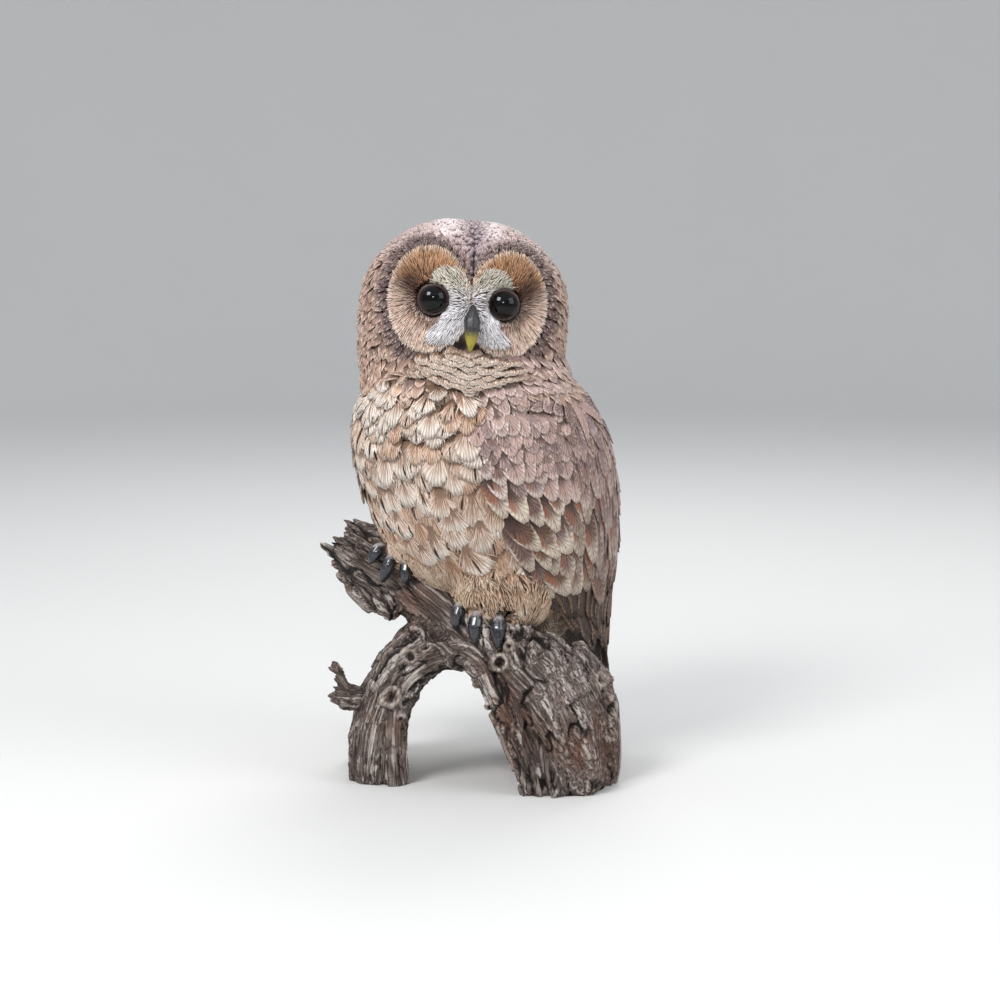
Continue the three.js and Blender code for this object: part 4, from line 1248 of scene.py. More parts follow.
def addBarbs(name, made, under, barbs, fanned):  # barbs fanned over each feather; some get a dark streak
    rng = np.random.default_rng(barbCoat["seed"])
    p = toOwl(under["root"])
    front = np.abs(aroundBody(p)) < 105
    streaked = np.flatnonzero(front & (under["marks"][:, 0] > 0.5) & (p[:, 2] < 262))
    pads = np.concatenate([np.repeat(np.flatnonzero(front), barbs), streaked])
    dark = np.arange(len(pads)) >= len(pads) - len(streaked)
    each = {key: values[pads] for key, values in under.items()}
    turn = np.where(dark, rng.normal(0, 0.12, len(pads)), rng.uniform(-1, 1, len(pads)))
    start = np.where(dark, barbCoat["streakStart"], barbCoat["start"]) + rng.uniform(-0.08, 0.2, len(pads))
    across = np.cross(each["lie"], each["up"])
    angle = np.radians(fanned) * turn
    lie = each["lie"] * np.cos(angle)[:, None] + across * np.sin(angle)[:, None]
    shift = each["lie"] * (start * each["length"])[:, None] + across * (turn * 0.2 * each["width"])[:, None]
    reach = (1.02 - start) * each["length"] * (1 - 0.18 * turn**2) * np.where(dark, 0.85, 1)
    high = each["base"] + each["lift"] * start**1.2 + each["thick"] * (0.95 - 0.2 * turn**2)
    drop = each["lift"] * (1 - start**1.2) - each["thick"] * (0.5 + 0.35 * turn**2)
    tint = mixed(each["tint"], each["edgeTint"], 0.2 + 0.6 * rng.random(len(pads)))
    tint, edge = mixed(tint, tones["streak"], dark), mixed(each["edgeTint"], tones["streakEdge"], dark)
    plan = {**each, "root": each["root"] + shift / 1000, "lie": lie,
            "width": np.where(dark, barbCoat["streak"], barbCoat["width"]), "length": reach,
            "thick": np.where(dark, 1.2, 0.8), "base": high - 0.35 + 0.3 * dark, "lift": drop,
            "tint": tint, "edgeTint": edge}
    return layFeathers(name, plan, "bristle", made, paints["barbs"])


bellyCoat = {"seed": 55, "samples": 160000, "spacing": 1.12, "width": 0.8, "length": 5.6}


def addBelly(made, logTree):  # fine down over the lowest feathers of the front
    rng = np.random.default_rng(bellyCoat["seed"])
    root, up = skinSamples(made, bellyCoat["samples"], rng)
    p = toOwl(root)
    degrees = aroundBody(p)
    keep = (np.abs(degrees) < 100) & (p[:, 2] > 76) & (p[:, 2] < 215) & (up[:, 2] > -0.85)
    root, up, p, degrees = only(keep, root, up, p, degrees)
    gap = np.array([logTree.find_nearest(Vector(q))[3] for q in root])
    thin = np.maximum(smoothStep(-p[:, 2], -145, -115), 1 - smoothStep(gap, 0.012, 0.03))
    keep = rng.random(len(p)) < thin
    root, up, p, degrees = only(keep, root, up, p, degrees)
    kept = spread(root, np.full(len(root), bellyCoat["spacing"]), rng)
    root, up, p, degrees = only(kept, root, up, p, degrees)
    swirl = 0.8 * cloud(p / 11, 12)
    side = np.radians(degrees)
    lie = np.stack([swirl * np.cos(side), swirl * np.sin(side), -np.ones(len(p))], -1)
    tint, edge = bodyTones(p)
    size = {"width": bellyCoat["width"], "length": bellyCoat["length"], "thick": 0.8,
            "base": 3.0 + 0.8 * rng.random(len(p)), "lift": 0.9, "vary": 0.2, "stray": 0.12}
    plan = makePlan(root, up, owlDirection(lie), rng, size, {"tint": tint, "edgeTint": edge, "uneven": 0.1})
    return layFeathers("belly_down", plan, "bristle", made, paints["belly"])


shoulderCoat = {"seed": 57, "top": 288, "bottom": 248, "row": 5.2, "width": 8.6, "length": 12.5}


def addShoulders(made, tree):  # small scalloped feathers over the shoulders and the nape
    rng = np.random.default_rng(shoulderCoat["seed"])
    root, up, lie = [], [], []
    z = shoulderCoat["top"]
    while z > shoulderCoat["bottom"]:
        middle = (frontAt(z) + backAt(z)) / 2
        girth = math.pi * (halfAt(z) + (backAt(z) - frontAt(z)) / 2)
        count = int(girth / (shoulderCoat["width"] * 0.76))
        for i in range(count):
            angle = 2 * math.pi * (i + rng.normal(0, 0.1) + 0.5 * (len(root) % 2)) / count - math.pi
            degrees = abs(math.degrees(angle))
            if degrees < 40 + 0.25 * max(0, 275 - z) or z < 262 and wingFront(z) + 9 < degrees < wingBack(z):
                continue
            p, n = castRound(tree, (0, middle), z + rng.normal(0, 0.8), angle)
            if p is None:
                continue
            root.append(p)
            up.append(n)
            lie.append((0.28 * math.cos(angle), 0.28 * abs(math.sin(angle)), -1))
        z -= shoulderCoat["row"]
    root, up, lie = map(np.array, (root, up, lie))
    over = smoothStep(-toOwl(root)[:, 2], -280, -264)  # raised where they pass over the wing's first row
    size = {"width": shoulderCoat["width"], "length": shoulderCoat["length"], "thick": 1.3,
            "base": 0.5 + 1.8 * over, "lift": 2.4 + 0.6 * over, "vary": 0.12, "stray": 0.12}
    plan = makePlan(root, up, owlDirection(lie), rng, size, {
        "tint": tones["covert"], "edgeTint": tones["covertEdge"], "shaft": 0.2, "tip": 0.05, "cover": 0.42,
        "uneven": 0.16})
    return layFeathers("shoulder_scales", plan, "plume", made, paints["wing"], ragged=0.8, frizz=0.4)


# Wings and tail: feathers in overlapping rows on a smooth lay surface.
wingParts = {  # rows: root height, width, length, look, and where the row starts and ends; in millimetres
    "wing_feathers": {
        "shape": "plume", "paint": "wing", "ragged": 0.6, "frizz": 0.3, "spacing": 0.8, "uneven": 1.0,
        "rows": [*[(273 - 6.4 * i, 10.4, 16.0, "lesser", 0, 1) for i in range(6)],
                 (239, 12.4, 22, "median", 0, 1), (231, 13.5, 27, "median", 0, 1),
                 (224, 14.0, 38, "greater", 0, 1), (208, 15.5, 45, "greater", 0, 1),
                 (191, 15.0, 49, "second", 0, 0.66), (173, 13.5, 47, "second", 0, 0.4)]},
    "flight_feathers": {
        "shape": "strip", "paint": "flight", "ragged": 0.25, "frizz": 0.1, "spacing": 0.66, "uneven": 0.35,
        "rows": [(140, 10.5, 62, "first", 0.22, 1.06), (152, 11.0, 66, "first", 0.02, 1.06),
                 (170, 12.0, 66, "first", 0, 1.05), (188, 10.0, 60, "first", 0.44, 1.03)]}}
wingLooks = {  # tip, shaft and cover are marks on the vane, cover being about where the painted shade under the row above fades; loose is how far a root strays from its row
    "lesser": {"tint": "covert", "edge": "covertEdge", "tip": 0.0, "shaft": 0.4, "thick": 1.6, "lift": 2.6,
               "cover": 0.42, "loose": 0.9},
    "median": {"tint": "covert", "edge": "covertEdge", "tip": 0.1, "shaft": 0.5, "thick": 2.0, "lift": 3.4,
               "cover": 0.42, "loose": 1.8},
    "greater": {"tint": "russet", "edge": "russetEdge", "tip": 0.2, "shaft": 0.5, "thick": 2.2, "lift": 4.2,
                "cover": 0.4, "loose": 4.2},
    "second": {"tint": "russet", "edge": "russetEdge", "tip": 0.14, "shaft": 0.5, "thick": 2.2, "lift": 3.6,
               "cover": 0.4, "loose": 4.2},
    "first": {"tint": "flight", "edge": "flightEdge", "tip": -0.1, "shaft": 0.7, "thick": 2.0, "lift": 1.2,
              "cover": 0.3, "loose": 2.0}}


def laySurface(name, place, rows, columns):  # an open sheet that guides feathers; removed afterwards
    points = np.array([place(i / rows, j / columns) for i in range(rows + 1) for j in range(columns + 1)])
    faces = [(i * (columns + 1) + j, i * (columns + 1) + j + 1, (i + 1) * (columns + 1) + j + 1,
              (i + 1) * (columns + 1) + j) for i in range(rows) for j in range(columns)]
    return meshObject(name, points, faces)


def withNormals(made, outward):  # stores normals that point along outward(points)
    points, normals = readPoints(made.data)
    side = np.sign(np.sum(normals * outward(points), axis=1, keepdims=True))
    setAttribute(made.data, "skinNormal", normals * np.where(side == 0, 1, side))
    made.hide_render = True
    return made


wingAxis = 40  # the wings' own upright axis stands this far behind the owl's origin


def wingPoint(height, angle):  # on the folded wing, which hangs straighter than the flank under it
    p = bodyPoint(height + 0.5 * np.maximum(0, 122 - height), angle, 0.3)
    p[..., 2] = height
    return p


def wingPlan(part, sign, rng):
    spots, sizes, looks = [], [], []
    for j, (z, width, length, look, first, last) in enumerate(part["rows"]):
        front, back = float(wingFront(z)), float(wingBack(z)) + (6 if z < 256 else 0)
        arc = math.radians(back - front) * (86 if z > 150 else 78)  # the row's length, wider above
        at = arc * first + width * (0.32 if j % 2 else 0.02)
        while at < arc * last:
            c = at / arc  # 0 at the wing's front edge, 1 at the back
            narrow = float(smoothStep(c, 0.26, 0.5)) if look != "first" else 0.25
            wide = width * (1 - (0.1 if look == "lesser" else 0.42) * narrow)
            longer = {"lesser": 1.2, "median": 0.75}.get(look, 0.1) * narrow
            spots.append((z + rng.normal(0, wingLooks[look]["loose"]), c, front + (back - front) * c, j))
            sizes.append((wide, length * (1 + longer), narrow))
            looks.append(look)
            at += wide * part["spacing"] * (1 + 0.08 * rng.normal() * part["uneven"])
    spots, sizes = np.array(spots), np.array(sizes)
    z, c, angle, layer = spots.T

    def onWing(z, angle):
        p = wingPoint(z, np.radians(angle))
        p[:, 0] *= sign
        return p

    p = onWing(z, angle)
    lower = z - 4
    followed = wingFront(lower) + (wingBack(lower) - wingFront(lower)) * c
    down = onWing(lower, angle + 0.45 * (followed - angle) + 0.75 * np.sqrt(np.clip(1 - c, 0, 1))) - p
    acrossWay = onWing(z, angle + 2) - p
    normal = unit(np.cross(acrossWay, down))
    outside = np.c_[p[:, 0], p[:, 1] - wingAxis, np.zeros(len(p))]
    normal *= np.sign(np.sum(normal * outside, axis=1, keepdims=True))
    look = [wingLooks[key] for key in looks]
    flight = np.array([key == "first" for key in looks])
    tint = np.array([tones[row["tint"]] for row in look])
    edge = np.array([tones[row["edge"]] for row in look])
    grey, chance = sizes[:, 2] * 0.5, rng.random((4, len(z)))
    tint = mixed(tint, tones["covert"], grey * ~flight)
    edge = mixed(edge, tones["covertEdge"], grey * ~flight)
    tint = mixed(tint, tones["mauve"], 0.7 * smoothStep(chance[0], 0.45, 0.8) * ~flight)
    tint = mixed(tint, tones["russet"], 0.6 * smoothStep(chance[1], 0.6, 0.9) * ~flight)
    edge = mixed(edge, tint, (0.3 + 0.6 * chance[2]) * smoothStep(c, 0.08, 0.36) * ~flight)
    thick, lift, shaft, tip, cover = (np.array([row[key] for row in look], float)
                                      for key in ("thick", "lift", "shaft", "tip", "cover"))
    deep = np.where(flight, 0, 1 - smoothStep(layer, 1, 4))  # the first rows start under the shoulder
    size = {
        "width": sizes[:, 0] * 1.06, "length": sizes[:, 1], "thick": thick,
        "base": np.where(flight, 1.1 * layer - 2.6, -0.4 - 1.8 * deep), "lift": lift + 1.8 * deep,
        "vary": 0.1 * part["uneven"], "stray": 0.08 * part["uneven"]}
    return makePlan(fromOwl(p), owlDirection(normal), owlDirection(down), rng, size, {
        "tint": tint, "edgeTint": edge, "shaft": shaft, "cover": cover - 0.5 * deep, "uneven": 0.1,
        "tip": tip * np.where(flight, 1, (1.25 - 0.7 * c) * (0.5 + chance[3]))})


def addWing(side, sign, seed):  # the coverts, and the flight feathers under them
    def outward(points):
        local = toOwl(points)
        return owlDirection(np.c_[local[:, 0], local[:, 1] - wingAxis, np.zeros(len(local))])

    def place(t, s):
        return fromOwl(wingPoint(292 - 250 * t, math.radians(8 + 190 * s)) * np.array([sign, 1, 1]))

    lay = withNormals(laySurface(f"wingLay{side}", place, 70, 60), outward)
    rng = np.random.default_rng(seed)
    made = []
    for name, part in wingParts.items():
        shape = part["shape"] if part["shape"] in templates else f"{part['shape']}_{side}"
        plan = wingPlan(part, sign, rng)
        made.append(layFeathers(f"{name}_{side}", plan, shape, lay, paints[part["paint"]],
                                ragged=part["ragged"], frizz=part["frizz"]))
    bpy.data.objects.remove(lay)
    return made


rumpCoat = {"seed": 75, "rows": 9, "top": 236, "step": 12, "across": 4, "spread": 5.5, "width": 13,
            "length": 30}


def addRump(made, tree):  # long coverts down the middle of the back, over the root of the tail
    rng = np.random.default_rng(rumpCoat["seed"])
    root, up = [], []
    for j in range(rumpCoat["rows"]):
        z = rumpCoat["top"] - rumpCoat["step"] * j
        for i in range(rumpCoat["across"] + j % 2):
            angle = math.radians(180 + rumpCoat["spread"] * (i - (rumpCoat["across"] - 1 + j % 2) / 2))
            p, n = castRound(tree, (0, (frontAt(z) + backAt(z)) / 2), z + rng.normal(0, 2), angle)
            if p is not None:
                root.append(p)
                up.append(n)
    root, up = np.array(root), np.array(up)
    dark = smoothStep(-toOwl(root)[:, 2], -190, -150)
    size = {"width": rumpCoat["width"], "length": rumpCoat["length"], "thick": 1.6, "base": 0.8, "lift": 2.6,
            "vary": 0.08, "stray": 0.06}
    plan = makePlan(root, up, owlDirection(np.tile([0.0, 0.1, -1.0], (len(root), 1))), rng, size, {
        "tint": mixed(tones["covert"], tones["russet"], dark), "edgeTint": tones["covertEdge"],
        "shaft": 0.4, "tip": 0, "cover": 0.3, "uneven": 0.12})
    return layFeathers("rump_coverts", plan, "plume", made, paints["wing"], ragged=0.6, frizz=0.3)


tailCoat = {"feathers": 8, "width": 13.5, "length": 108, "root": 160, "half": 19, "bow": 0.006, "apart": 2.2}


def addTail(name, side, seed):  # side: 1 for the upper feathers, -1 for the lower ones
    offset, bow = side * tailCoat["apart"], tailCoat["bow"]

    def place(t, s):
        z, x = 185 - 150 * t, -45 + 90 * s
        return fromOwl([x, float(tailBack(z)) - bow * min(x * x, 1200) + offset, z])

    def outward(points):
        return np.tile(owlDirection([0, float(side), 0]), (len(points), 1))

    lay = withNormals(laySurface(name + "Lay", place, 40, 30), outward)
    rng = np.random.default_rng(seed)
    count = tailCoat["feathers"]
    across = (np.arange(count) - (count - 1) / 2) / (count / 2)  # within -1 to 1
    x = across * tailCoat["half"]
    z = tailCoat["root"] - 0.02 * x * x
    root = fromOwl(np.stack([x, tailBack(z) - bow * x * x + offset, z], -1))
    lie = np.stack([0.005 * x, np.full(count, 0.28), np.full(count, -1.0)], -1)
    size = {"width": tailCoat["width"], "length": tailCoat["length"] - 0.012 * x * x, "thick": 1.5,
            "base": -0.4 + 1.5 * (1 - np.abs(across)), "lift": 0.9, "vary": 0.02, "stray": 0.01}
    plan = makePlan(root, outward(root), owlDirection(lie), rng, size, {
        "tint": tones["tail"], "edgeTint": tones["tailEdge"], "shaft": 0.5, "tip": 0.05, "cover": 0.1})
    made = layFeathers(name, plan, "quill", lay, paints["tail"], ragged=0.5, frizz=0.3)
    bpy.data.objects.remove(lay)
    return made


toeCoat = {"seed": 71, "samples": 120000, "spacing": 2.6, "width": 3.6, "length": 7.5, "reach": 0.017}
talonNodes = [f"talon_{side}_{i}" for side in ("left", "right") for i in (1, 2, 3)]


def addToes(made):  # tufts round the root of each claw, pointing the claw's way
    rng = np.random.default_rng(toeCoat["seed"])
    root, up = skinSamples(made, toeCoat["samples"], rng)
    heads, ways = [], []
    for node in talonNodes:
        points, _ = readPoints(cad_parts[node].data)
        high, low = points[np.argmax(points[:, 2])], points[np.argmin(points[:, 2])]
        heads.append(high)
        ways.append(low - high)
    heads, ways = np.array(heads), unit(np.array(ways))
    gap = np.linalg.norm(root[:, None] - heads[None], axis=2)
    nearest = np.argmin(gap, axis=1)
    gap = gap.min(axis=1)
    keep = gap < toeCoat["reach"]
    root, up, nearest, gap = only(keep, root, up, nearest, gap)
    kept = spread(root, np.full(len(root), toeCoat["spacing"]), rng)
    root, up, nearest, gap = only(kept, root, up, nearest, gap)
    white = 1 - smoothStep(gap, 0.007, 0.014)
    tint = mixed(tones["belly"], tones["toe"], white)
    edge = mixed(tones["bellyEdge"], tones["toeEdge"], white)
    size = {"width": toeCoat["width"], "length": toeCoat["length"], "thick": 1.0, "base": 0.5, "lift": 1.4,
            "vary": 0.12, "stray": 0.15}
    plan = makePlan(root, up, ways[nearest], rng, size, {
        "tint": tint, "edgeTint": edge, "shaft": 0, "tip": 0.2, "cover": 0.4})
    return layFeathers("toe_tufts", plan, "tuft", made, paints["breast"], ragged=0.8, frizz=0.3)


# Eyes, lids, bill and claws.
def glossPaint(name, roughness, coat, scale):  # all of it but the colour
    material, wire, shader, place = newMaterial(name)
    fine = wire.noise(place, scale, 3)
    plug(shader, "Roughness", roughness + (fine - 0.5) * 0.12)
    shader.inputs["Coat Weight"].default_value = coat
    shader.inputs["Coat Roughness"].default_value = 0.08
    addRelief(shader, fine, 0.3, 0.0003)
    return material, wire, shader, fine


def lidPaint():
    material, _, shader, fine = glossPaint("lidPaint", 0.45, 0.2, 900)
    plug(shader, "Base Color", fine.rise(0.35, 0.65).blend(rgba(30, 22, 22), rgba(66, 50, 48)))
    return material


def eyePaint():
    material, wire, shader, place = newMaterial("eyePaint")
    ring = wire.attribute("ring", 2)
    fine = wire.noise(place, 700, 2)
    colour = (ring + (fine - 0.5) * 0.06).rise(0.70, 0.84).blend(rgba(3, 3, 4), rgba(46, 22, 16))
    plug(shader, "Base Color", colour)
    shader.inputs["Roughness"].default_value = 0.06
    shader.inputs["Specular IOR Level"].default_value = 0.28
    return material


def addEye(name, material):
    centre = np.mean([tuple(corner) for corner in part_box(f"eye_{name}")], axis=0)
    radius = owl["eyeRadius"] / 1000
    shape = bmesh.new()
    bmesh.ops.create_uvsphere(shape, u_segments=48, v_segments=32, radius=radius)
    bmesh.ops.recalc_face_normals(shape, faces=shape.faces)
    mesh = bpy.data.meshes.new("eye_" + name)
    shape.to_mesh(mesh)
    shape.free()
    made = linked("eyeball_" + name, mesh)
    points, _ = readPoints(mesh)
    turn = np.array(Vector((0, 0, 1)).rotation_difference(Vector((0, -1, 0))).to_matrix())
    points = headDirection(points @ turn.T)
    facing = points @ headDirection(np.array([0.0, -1.0, 0.0])) / radius
    writePoints(mesh, points + centre)
    setAttribute(mesh, "ring", np.sqrt(np.clip(1 - facing**2, 0, 1)) + (facing < 0), "FLOAT")
    mesh.shade_smooth()
    mesh.materials.append(material)
    return made


lids = {"inner": 9.3, "tube": 0.9, "deep": 5.2, "around": 56, "across": 14}  # a roll round each eye


def addLid(name, sign, material):
    eyeX, eyeY, eyeZ = owl["eye"]
    points, faces = [], []
    n, m = lids["around"], lids["across"]
    for i in range(n):
        a = 2 * math.pi * i / n
        up = max(math.sin(a), 0)  # fuller over the top of the eye
        inner = lids["inner"] - 0.5 * up**3
        for k in range(m):
            b = 2 * math.pi * k / m
            tube = lids["tube"] * (1 + 0.25 * up) * (1 + 0.06 * math.sin(3 * a + 1))
            r = inner + tube * 0.9 + tube * math.cos(b)
            y = eyeY - lids["deep"] - 0.5 * up - tube * 0.9 * math.sin(b)
            points.append((sign * eyeX + r * math.cos(a), y, eyeZ + r * math.sin(a)))
            faces.append((i * m + k, i * m + (k + 1) % m, (i + 1) % n * m + (k + 1) % m, (i + 1) % n * m + k))
    made = meshObject("lid_" + name, fromHead(points), faces)
    shape = bmesh.new()
    shape.from_mesh(made.data)
    bmesh.ops.recalc_face_normals(shape, faces=shape.faces)
    shape.to_mesh(made.data)
    shape.free()
    made.data.shade_smooth()
    made.data.materials.append(material)
    return made


billShape = {"voxel": 0.0005, "smoothing": 8}
billWidths = (0.62, 1.12)  # of the solid's own width, at the root and from there down
talonShape = {"voxel": 0.0006, "smoothing": 26}


def billPaint():
    material, wire, shader, fine = glossPaint("billPaint", 0.5, 0.12, 1300)
    tip = wire.attribute("tip", 2)
    dark = (fine * 0.8 + 0.1).rise(0.3, 0.7).blend(rgba(24, 22, 25), rgba(50, 47, 51))
    colour = (tip + (fine - 0.5) * 0.3).rise(0.52, 0.76).blend(dark, rgba(154, 144, 50))
    plug(shader, "Base Color", colour)
    return material


def talonPaint():
    material, wire, shader, fine = glossPaint("talonPaint", 0.26, 0.7, 600)
    root = wire.attribute("tip", 2)
    dark = fine.rise(0.35, 0.7).blend(rgba(14, 14, 18), rgba(46, 46, 56))
    colour = (root + (fine - 0.5) * 0.2).rise(0.06, 0.2).blend(rgba(168, 162, 160), dark)
    plug(shader, "Base Color", colour)
    return material


def addHorn():
    bill = joinedNodes("bill_horn", ["bill"], **billShape)
    points, _ = readPoints(bill.data)
    local = toHead(points)
    along = (local[:, 2].max() - local[:, 2]) / np.ptp(local[:, 2])
    middle = local[:, 0].mean()
    narrow, wide = billWidths
    girth = narrow + (wide - narrow) * smoothStep(along, 0.02, 0.4)
    local[:, 0] = middle + (local[:, 0] - middle) * girth
    writePoints(bill.data, fromHead(local))
    setAttribute(bill.data, "tip", along, "FLOAT")
    bill.data.shade_smooth()
    bill.data.materials.append(billPaint())
    finishPiece(bill, "bill", ["bill"])
    material = talonPaint()
    for node in talonNodes:
        claw = joinedNodes(node.replace("talon", "claw"), [node], **talonShape)
        height = readPoints(claw.data)[0][:, 2]
        setAttribute(claw.data, "tip", (height.max() - height) / np.ptp(height), "FLOAT")
        claw.data.shade_smooth()
        claw.data.materials.append(material)
        finishPiece(claw, "talon", [node])
    print("bill and claws made")


sweep = {"rings": 40, "flatRings": 16, "around": 96, "flat": 2.6, "curve": 1.5, "height": 2.6}


def addFloor():  # a round pale sweep: flat, then curving up into a wall
    rings, flatRings, around = sweep["rings"], sweep["flatRings"], sweep["around"]
    points, faces = [(0, 0, 0)], []
    for j in range(1, rings + 1):
        t = max(0.0, (j - flatRings) / (rings - flatRings))
        reach = sweep["flat"] * min(1.0, j / flatRings) + sweep["curve"] * math.sin(0.5 * math.pi * t)
        height = sweep["height"] * (1 - math.cos(0.5 * math.pi * t))
        for i in range(around):
            a = 2 * math.pi * i / around
            points.append((reach * math.cos(a), reach * math.sin(a), height))
    for i in range(around):
        faces.append((0, 1 + i, 1 + (i + 1) % around))
        for j in range(rings - 1):
            a, b = 1 + j * around + i, 1 + j * around + (i + 1) % around
            faces.append((a, a + around, b + around, b))
    floor = meshObject("floor", points, faces)
    material, wire, shader, place = newMaterial("floorPaint")
    soft = wire.noise(place, 3, 2)
    pale = studio["floor"]
    plug(shader, "Base Color", soft.blend((*pale, 1), tuple(c * 0.97 for c in pale) + (1,)))
    shader.inputs["Roughness"].default_value = 0.9
    floor.data.materials.append(material)


# The log: limbs joined to one mesh, then carved along each limb's own grain.
logNodes = ["log_beam", "log_branch_end", "log_left_leg", "log_right_leg", "twig_stub_right",
            "twig_stub_shoulder", "knot_front", "knot_left_leg"]
logShape = {"voxel": 0.00118, "smoothing": 5, "flat": 0.0006, "ridge": 2.0, "crack": 3.8, "furrow": 2.1,
            "bark": 3.9, "merge": 1.6}
logLimbs = [  # middle line and radius in millimetres, from the statue's middle; how barky each is
    ([(-97, 60, 160, 23), (-70, 48, 147, 25), (-41, 33, 132.5, 26), (-13, 12, 116.5, 28), (15.6, -11, 98, 29),
      (50, -31, 71, 32), (62, -38, 55, 31)], 0.15),
    ([(44, -28, 75, 29), (60, -34, 42, 30), (67, -33, -8, 30)], 1.0),
    ([(58, -10, 80, 24), (74, -4, 40, 23), (78, 0, -8, 25)], 0.9),
    ([(52, -2, 82, 22), (72, 24, 36, 20), (78, 42, -8, 22)], 0.8),
    ([(66, -14, 90, 15), (83, -18, 62, 15), (89, -20, 28, 14), (86, -20, -8, 14)], 0.9),
    ([(-20, 0, 100, 22), (-50, -10, 82, 21), (-66, -14, 52, 18), (-71, -12, 18, 18),
      (-71, -12, -8, 20)], 0.3),
    ([(-30, 12, 104, 20), (-58, 8, 62, 19), (-72, 10, 30, 18), (-73, 10, -8, 20)], 0.4),
    ([(-28, 26, 106, 20), (-52, 32, 70, 19), (-72, 40, 38, 18), (-76, 44, -8, 20)], 0.4),
    ([(-57, -22, -8, 11), (-57, -23, 45, 10), (-50, -24, 72, 10), (-34, -25, 88, 11), (-12, -28, 95, 11),
      (6, -35, 88, 11), (19, -42, 70, 12), (28, -48, 47, 12), (38, -50, 24, 12), (46, -50, -8, 13)], 0.7),
    ([(-98, 46, 141, 5), (-86, 37, 132, 9), (-56, 7, 116, 8)], 0.6),
    ([(-84, 50, 146, 12), (-98, 50, 153, 8), (-109, 50, 158, 3)], 0.4),
    ([(-70, -14, 58, 10), (-88, -15, 60, 9), (-101, -15, 64, 9)], 0.3),
    ([(-90, -15, 64, 6), (-97, -15, 76, 4), (-101, -15, 86, 2.5)], 0.2),
]
knotRings = [  # middle, outward direction, ring radius, pit depth
    ((18, -45.5, 92.5), (0.05, -0.95, 0.3), 5.2, 0.8), ((24.5, -44, 103.5), (0.1, -0.85, 0.4), 3.2, 2.0),
    ((-57.5, -33.5, 65), (0, -1, 0.1), 6.0, -2.2), ((-44.5, -26.8, 92), (-0.3, -0.8, 0.5), 4.6, 3.2),
    ((-34, -28, 100), (0, -0.8, 0.6), 4.0, 2.0), ((89, -24, 75), (0.8, -0.4, 0.4), 4.6, 1.5)]
logShift = owlOrigin - np.array([*owl["place"], 0])


def limbAxis(knots, steps=7):  # points, tangents, radii and distances along a smooth line
    knots = np.array(knots, float)
    padded = np.vstack([2 * knots[0] - knots[1], knots, 2 * knots[-1] - knots[-2]])
    line = []
    for a, b, c, d in zip(padded, padded[1:], padded[2:], padded[3:]):
        for t in np.arange(steps) / steps:
            line.append(0.5 * (2 * b + (c - a) * t + (2 * a - 5 * b + 4 * c - d) * t**2
                               + (3 * b - a - 3 * c + d) * t**3))
    line = np.array(line + [knots[-1]])
    tangents = unit(np.gradient(line[:, :3], axis=0))
    gaps = np.linalg.norm(np.diff(line[:, :3], axis=0), axis=1)
    return line[:, :3], tangents, line[:, 3], np.concatenate([[0], np.cumsum(gaps)])


